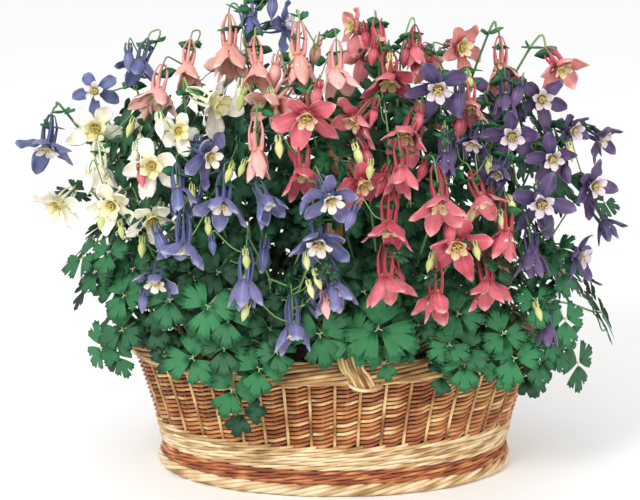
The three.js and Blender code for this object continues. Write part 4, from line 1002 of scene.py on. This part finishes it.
for rows, share, rank in ((LEAVES, 1, "front"), (DEEP_LEAVES, DEEP, "deep")):
    for x, z, yaw, pitch, size, roll in rows:
        y = -(SPREAD_Y * math.sqrt(max(1 - (x / SPREAD_X) ** 2, 0)) + 6) * share
        place_leaf(Vector((x, y, z)), facing_of(yaw, pitch), size, roll, rank)
# the far side's leaves hang in three levels
for i in range(FAR_LEAVES):
    level = i % 3
    turn = math.radians(8 + 164 * i / (FAR_LEAVES - 1))
    round_leaf(turn, 1.03 - 0.05 * level, 154 + 36 * level + i / 2, 25 + 8 * level, 0.9, "far")
# leaves in a spiral further in and up, in the shade
for i in range(HIGH_LEAVES):
    z = 185 + 150 * (i + 0.5) / HIGH_LEAVES
    round_leaf(2.4 * i, 0.74 * math.sqrt(1 - ((z - 150) / 290) ** 2), z, 40, 0.85, "high")


def nearest_crown(p):
    """The plant whose crown is nearest to a point, for the oval basket."""
    return min(CROWNS, key=lambda c: math.hypot((p.x - CROWNS[c][0]) * 0.8, p.y - CROWNS[c][1]))


def leaf_on_stalk(bunch, leaf, root, i):
    """A large leaf with its stalk from the root, which first rises and then arches over to it."""
    hub, normal, rank = leaf["hub"], leaf["normal"], leaf["rank"]
    low = hub - normal * 8 + Vector((0, 0, 4))
    crest = hub.lerp(root, 0.4)
    crest.z = max(hub.z + 4, 166)
    crest -= normal * max((crest - hub).dot(normal) + 12, 0)
    line = smooth((hub, low, root) if rank == "high" else (hub, low, crest, root), 7)
    bunch.rod(line, np.linspace(0.8, 1.6, len(line)), 6, scatter(i, 44), 2 if i % 3 else 1)
    # leaves deep and high in the plants take the darker leaf with painted shade
    skins = (0 if rank in ("front", "far") else 3, 2)
    rows = 59 if rank == "front" else 35
    compound_leaf(bunch, hub, normal, leaf["tipward"], leaf["size"], leaf["index"], skins, rows)


def bracts(bunch, joint, key):
    """Three small oval leaves round a joint near a bloom, arched down and each rolled a little."""
    for k in range(3):
        turn = 6.3 * scatter(key, 78) + 2.1 * k
        way = np.array([math.cos(turn), math.sin(turn), 0.1 + 0.7 * scatter(key + k, 79)])
        long = 9 + 9 * scatter(key + k, 80)
        bend = np.linspace(0, 1, 6)[:, None]
        line = np.array(joint) + way * long * bend - np.array([0, 0, 0.35 * long]) * bend**2
        roll = sway(key + k, 95, 2.6)
        side = np.cross(way, (0, 0, 1))
        across = side * math.cos(roll) + np.cross(side, way) * math.sin(roll)
        wide = 0.36 * long * BRACT_SHAPE
        blade(bunch, line, across, wide, 0.5, 0.5, scatter(key + k, 81), 0, 3)


def small_leaf(bunch, joint, key):
    """A small leaf on a short stalk of its own, which stands out from a joint."""
    out = Vector((joint.x * OVAL, joint.y, 0)).normalized()
    out = Quaternion((0, 0, 1), sway(key, 71, 4.4)) @ out
    hub = joint + out * (7 + 12 * scatter(key, 72)) + Vector((0, 0, 10 * scatter(key, 73) - 3))
    normal = (out * (0.4 + scatter(key, 74)) + Vector((0, 0, 0.75))).normalized()
    size = 0.34 + 0.3 * scatter(key, 75)
    # small leaves take the darker leaf with painted shade
    compound_leaf(bunch, hub, normal, tipward_of(normal, sway(key, 76, 120)), size, key, (3, 1), 21)
    path = hub, hub.lerp(joint, 0.5) - Vector((0, 0, 1.5)), joint
    bunch.rod(smooth(path, 4), 0.5, 5, scatter(key, 77), 1)


def leaves_up(bunch, line):
    """Small leaves up a stalk: cut ones low down, and bracts in threes near the bloom."""
    steps = np.linalg.norm(np.diff(line, axis=0), axis=1)
    far = np.concatenate([[0], np.cumsum(steps)])
    for level, d in enumerate(np.arange(14, far[-1] - 12, STEM_LEAVES)):
        joint = Vector([np.interp(d, far, line[:, c]) for c in range(3)])
        key = int(joint.x * 7 + joint.z * 3)
        if joint.z > BRACTS_FROM:
            bracts(bunch, joint, key)
        elif level % 2 == 0 and joint.z >= SMALL_FROM:
            small_leaf(bunch, joint, key)


for plant, (cx, cy) in CROWNS.items():
    greenery = Bunch()
    growths = [{"stalk": s, "goal": s[0]} for name, s in stalk_ends if name == plant]
    own = [leaf for leaf in leaves if nearest_crown(leaf["hub"]) == plant]
    growths += [{"leaf": leaf, "goal": leaf["hub"]} for leaf in own]
    for growth in growths:
        growth["heading"] = math.atan2(growth["goal"].y - cy, growth["goal"].x - cx)
    growths.sort(key=lambda growth: growth["heading"])
    for i, growth in enumerate(growths):
        turn = growths[0]["heading"] + 2 * math.pi * i / len(growths)
        r = CROWN * (0.25, 0.45, 0.65)[i % 3]
        outward = Vector((r * math.cos(turn), r * math.sin(turn), 0))
        root = Vector((cx, cy, SOIL_TOP - 3)) + outward
        if "leaf" in growth:
            leaf_on_stalk(greenery, growth["leaf"], root, i)
            continue
        foot = root + outward * 0.8 + Vector((0, 0, 20))
        mid = root.lerp(growth["stalk"][-1], 0.6) + Vector((0, 0, 12))
        line = smooth((*growth["stalk"], mid, foot, root), 6)
        stem_lines.append((plant, line))
        greenery.rod(line, np.linspace(0.95, 1.7, len(line)), 6, scatter(i, 43), 1)
    for name, line in stem_lines:
        if name == plant:
            leaves_up(greenery, line)
    collar = [(cx, cy, z) for z in (92, 100, 112, 118, 121)]
    greenery.rod(collar, np.array([9.0, 13, 13.5, 9, 3]), 12, 0.2, 1)
    # the fourth finish is the darker leaf with painted shade
    finishes = [leaf_green, stalk_green, pale_green, leaf_painted_shade]
    greenery.piece(f"leaves_{plant}", finishes, "leaf_green", f"plant_{plant}")

# ---- Young leaves --------------------------------------------------------
# Most leaves are divided twice: one to three smaller ones stand close round the first on the
# same stalk. They fill the basket in the shade of the old ones.

COMPANIONS = {"front": 1, "deep": 3, "far": 2, "high": 2}


def jog(i, k, width):
    """A small fixed offset, like a random one, of up to half the width each way."""
    return Vector([sway(i, k + j, width) for j in range(3)])


young = Bunch()
for leaf in leaves:
    side = leaf["normal"].cross(leaf["tipward"])
    for k in range(COMPANIONS[leaf["rank"]]):
        key = leaf["index"] * 5 + k
        a = 2.4 * k + 6.3 * scatter(leaf["index"], 61)
        r = (20 + 14 * scatter(key, 62)) * (1 if leaf["rank"] != "front" else 0.8)
        back = (16 if leaf["rank"] == "front" else -4) + 12 * scatter(key, 63)
        away = leaf["tipward"] * math.cos(a) + side * math.sin(a)
        hub = leaf["hub"] + away * r - leaf["normal"] * back
        normal = (leaf["normal"] + jog(key, 64, 0.7)).normalized()
        tipward = tipward_of(normal, 360 * scatter(key, 67))
        size = 0.42 + 0.28 * scatter(key, 68)
        compound_leaf(young, hub, normal, tipward, size, 200 + key, (0, 1), 19)
        joint = leaf["hub"] - leaf["normal"] * 9 + Vector((0, 0, 3))
        line = smooth((hub, hub - normal * 5, hub.lerp(joint, 0.7), joint), 4)
        young.rod(line, np.linspace(0.6, 0.9, len(line)), 5, scatter(key, 69), 1)
# the young leaves take the darker leaf with painted shade
young.piece("leaves_young", [leaf_painted_shade, stalk_green], "leaf_green")

# ---- Leaves inside -------------------------------------------------------
# The inside of the plants is dense: leaves grow on every stalk up to just under the blooms, in
# the dark between them. They stand in a loose grid, each joined to the nearest stalk.

INSIDE_STEP = 36
INSIDE_DEPTHS = (0.52, 0.1, -0.5)  # shares of the outer shape's half depth
BOW_HIDDEN = 0.82  # the first of them at the middle, where the leaves hide the bow
INSIDE_LOOSE = 24  # as wide as a leaf may stand from its place in the grid
INSIDE_TOP, INSIDE_THIN = 392, 50  # no leaf stands higher, or where the plants are thinner

stem_points = np.concatenate([line for name, line in stem_lines])


def joint_near(p, top):
    """The nearest point on any stalk, rather one below a height."""
    away = np.linalg.norm(stem_points - np.array(p), axis=1) + 60 * (stem_points[:, 2] > top)
    return Vector(stem_points[np.argmin(away)])


def inside_leaf(bunch, hub, key):
    """A leaf in the dark that faces outwards and up, with its stalk."""
    out = Vector((hub.x * OVAL, hub.y, 0)).normalized()
    normal = (out + jog(key, 89, 0.9) + Vector((0, 0, 0.5))).normalized()
    size = 0.55 + 0.35 * scatter(key, 92)
    compound_leaf(bunch, hub, normal, tipward_of(normal, sway(key, 93, 200)), size, key, (0, 1), 13)
    joint = joint_near(hub, hub.z)
    line = smooth((hub, hub - normal * 5, hub.lerp(joint, 0.7), joint), 2)
    bunch.rod(line, 0.55, 3, scatter(key, 94), 1)


inside = Bunch()
key = 0
for x in np.arange(-216, 217, INSIDE_STEP):
    for z in np.arange(196, 400, INSIDE_STEP * 0.9):
        for share in INSIDE_DEPTHS:
            key += 1
            near = BOW_HIDDEN if abs(x) < INSIDE_STEP and share > 0.4 else share
            hub = Vector((x, -near * dome_depth(x, z), z)) + jog(key, 85, INSIDE_LOOSE)
            if dome_depth(hub.x, hub.z) >= INSIDE_THIN and hub.z <= INSIDE_TOP:
                inside_leaf(inside, hub, key)
# the leaves inside take the darker leaf with painted shade
inside.piece("leaves_inside", [leaf_painted_shade, stalk_green], "leaf_green")

# ---- Buds ----------------------------------------------------------------
# Buds hang from thin hooked stalks between the blooms. They are ribbed drops, 14 to 18 mm long,
# whose young spurs stand up at the back. Most are still greenish yellow, a few show colour.

# by colour, [x, z, size]: where each shows from the front in mm, and its size
BUDS = {
    "green": [
        [-199, 369, 1], [-184, 356, 0.9], [-238, 318, 0.9], [-225, 317, 1], [-226, 284, 1],
        [-205, 278, 0.9], [-185, 264, 1], [-136, 318, 1], [-120, 290, 0.9], [-101, 340, 1],
        [-89, 345, 0.85], [-90, 402, 1.15], [-59, 405, 1], [-41, 439, 1], [52, 431, 1],
        [-53, 364, 1.1], [22, 358, 1.1], [32, 345, 1], [-84, 261, 1], [-16, 244, 1],
        [-23, 234, 0.9], [-86, 209, 1], [-27, 262, 0.9], [130, 413, 1], [103, 371, 1],
        [230, 343, 1], [145, 344, 0.9], [127, 301, 1], [168, 307, 0.9], [158, 293, 1],
        [134, 267, 1], [88, 258, 0.9], [198, 195, 1],
    ],
    "red": [[-185, 330, 1.15], [40, 452, 1.1], [58, 343, 1.2]],
    "blue": [[-116, 274, 1], [-30, 315, 1.1]],
    "pink": [[-9, 217, 1.3]],
}
BUD_LONG, BUD_WIDE = 16, 3.8  # length, and radius at the widest place
BUD_T = np.linspace(0, 1, 9)
BUD_SHAPE = np.interp(BUD_T, [0, 0.12, 0.35, 0.55, 0.75, 0.92, 1], [0.3, 0.7, 1, 0.94, 0.62, 0.24, 0.06])
BUD_ROUND = np.linspace(0, 2 * np.pi, 15, endpoint=False)
BUD_RIBS = 1 + 0.09 * np.cos(5 * BUD_ROUND)
BUD_SKINS = {"green": 0, "red": 2, "coral": 2, "blue": 3, "sky": 3, "indigo": 3}
BUD_SKINS.update(pink=4, purple=5, white=6)


def bud_body(bunch, base, nod, size, tone, finish):
    """A ribbed drop from its base along nod, with five young spurs behind."""
    turn = Vector((0, 0, 1)).rotation_difference(nod)
    bunch.turn, bunch.origin = np.array(turn.to_matrix()) * size, np.array(base)
    radius = BUD_WIDE * BUD_SHAPE[:, None] * BUD_RIBS
    long = np.broadcast_to(BUD_LONG * BUD_T[:, None], radius.shape)
    rings = np.stack([radius * np.cos(BUD_ROUND), radius * np.sin(BUD_ROUND), long], -1)
    bunch.skin(rings, np.abs(np.sin(2.5 * BUD_ROUND)) * 0.5, BUD_T, tone, finish)
    for k in range(5):
        out = math.radians(72 * k)
        spur = [polar(out, r, z) for r, z in [(1.8, 1.5), (2.6, -0.5), (2.6, -3), (1.9, -5.2)]]
        bunch.rod(spur, np.array([1.1, 0.9, 0.55, 0.7]), 4, tone, finish)
    bunch.turn, bunch.origin = np.eye(3), np.zeros(3)


hanging = []
for colour, places in BUDS.items():
    hanging += [(Vector((x, -dome_depth(x, z), z)), size, colour) for x, z, size in places]
# a half-open bud of its own colour hangs beside most blooms
for i, bloom in enumerate(blooms):
    if scatter(i, 95) < 0.8 and abs(bloom["middle"].x) < 230:
        inward = Vector((0, -0.12 * bloom["middle"].y, 0))
        middle = bloom["middle"] + inward + jog(i, 96, 44)
        hanging.append((middle, 1.15 + 0.6 * scatter(i, 99), bloom["plant"]))
buds = Bunch()
for i, (middle, size, colour) in enumerate(hanging):
    nod = Vector((sway(i, 81, 0.9), -0.7 * scatter(i, 82), -1)).normalized()
    base = middle - nod * 0.5 * BUD_LONG * size
    bud_body(buds, base, nod, size, scatter(i, 83), BUD_SKINS[colour])
    joint = joint_near(base, base.z - 12)
    over = (joint - base) * 0.2
    hook = base - nod * 8 * size
    path = [base + nod, base - nod * 4 * size, hook + Vector((over.x, over.y, 0)) * 0.5]
    path += [hook + Vector((over.x, over.y, -3)), base.lerp(joint, 0.6), joint]
    line = smooth(path, 3)
    buds.rod(line, np.linspace(0.55, 0.7, len(line)), 4, scatter(i, 84), 1)
bud_skins = [bud_green, stalk_green, *(PETALS[c] for c in ("red", "blue", "pink", "purple", "white"))]
buds.piece("buds", bud_skins, "petal_cream")

# ---- Floor, light and camera ---------------------------------------------
# The basket stands on a pale floor in soft daylight that comes from the front and the left.

pale, shader = new_material("pale_floor")
shader.inputs["Base Color"].default_value = linear("#fafafa")
shader.inputs["Roughness"].default_value = 0.9
bpy.ops.mesh.primitive_plane_add(size=30, location=(0, 0, 0))
floor = bpy.context.object
floor.name = "floor"
floor.data.materials.append(pale)

world = bpy.data.worlds.new("soft_daylight")
world.use_nodes = True
world.node_tree.nodes["Background"].inputs[0].default_value = (1, 1, 1, 1)
world.node_tree.nodes["Background"].inputs[1].default_value = 0.95
bpy.context.scene.world = world
bpy.context.scene.view_settings.view_transform = "Standard"


def lamp(name, place, aim, size, watts):
    """A soft square lamp, turned to what it is aimed at."""
    bpy.ops.object.light_add(type="AREA", location=place)
    light = bpy.context.object
    light.name = name
    light.data.size = size
    light.data.energy = watts
    light.rotation_mode = "QUATERNION"
    light.rotation_quaternion = (Vector(aim) - Vector(place)).to_track_quat("-Z", "Y")


lamp("window", (-1.1, -1.9, 1.9), (0, 0, 0.22), 0.9, 38)
lamp("bounce", (1.6, -1.6, 0.9), (0, 0, 0.22), 1.4, 12)

camera = bpy.data.objects.new("camera", bpy.data.cameras.new("camera"))
bpy.context.collection.objects.link(camera)
look_at = Vector((-0.0147, 0.0602, 0.2099))
camera.location = (-0.0147, -2.0546, 0.8163)
camera.rotation_mode = "QUATERNION"
camera.rotation_quaternion = (look_at - camera.location).to_track_quat("-Z", "Y")
camera.data.sensor_width = 36
camera.data.lens = 117.9
bpy.context.scene.camera = camera

bpy.context.view_layer.update()
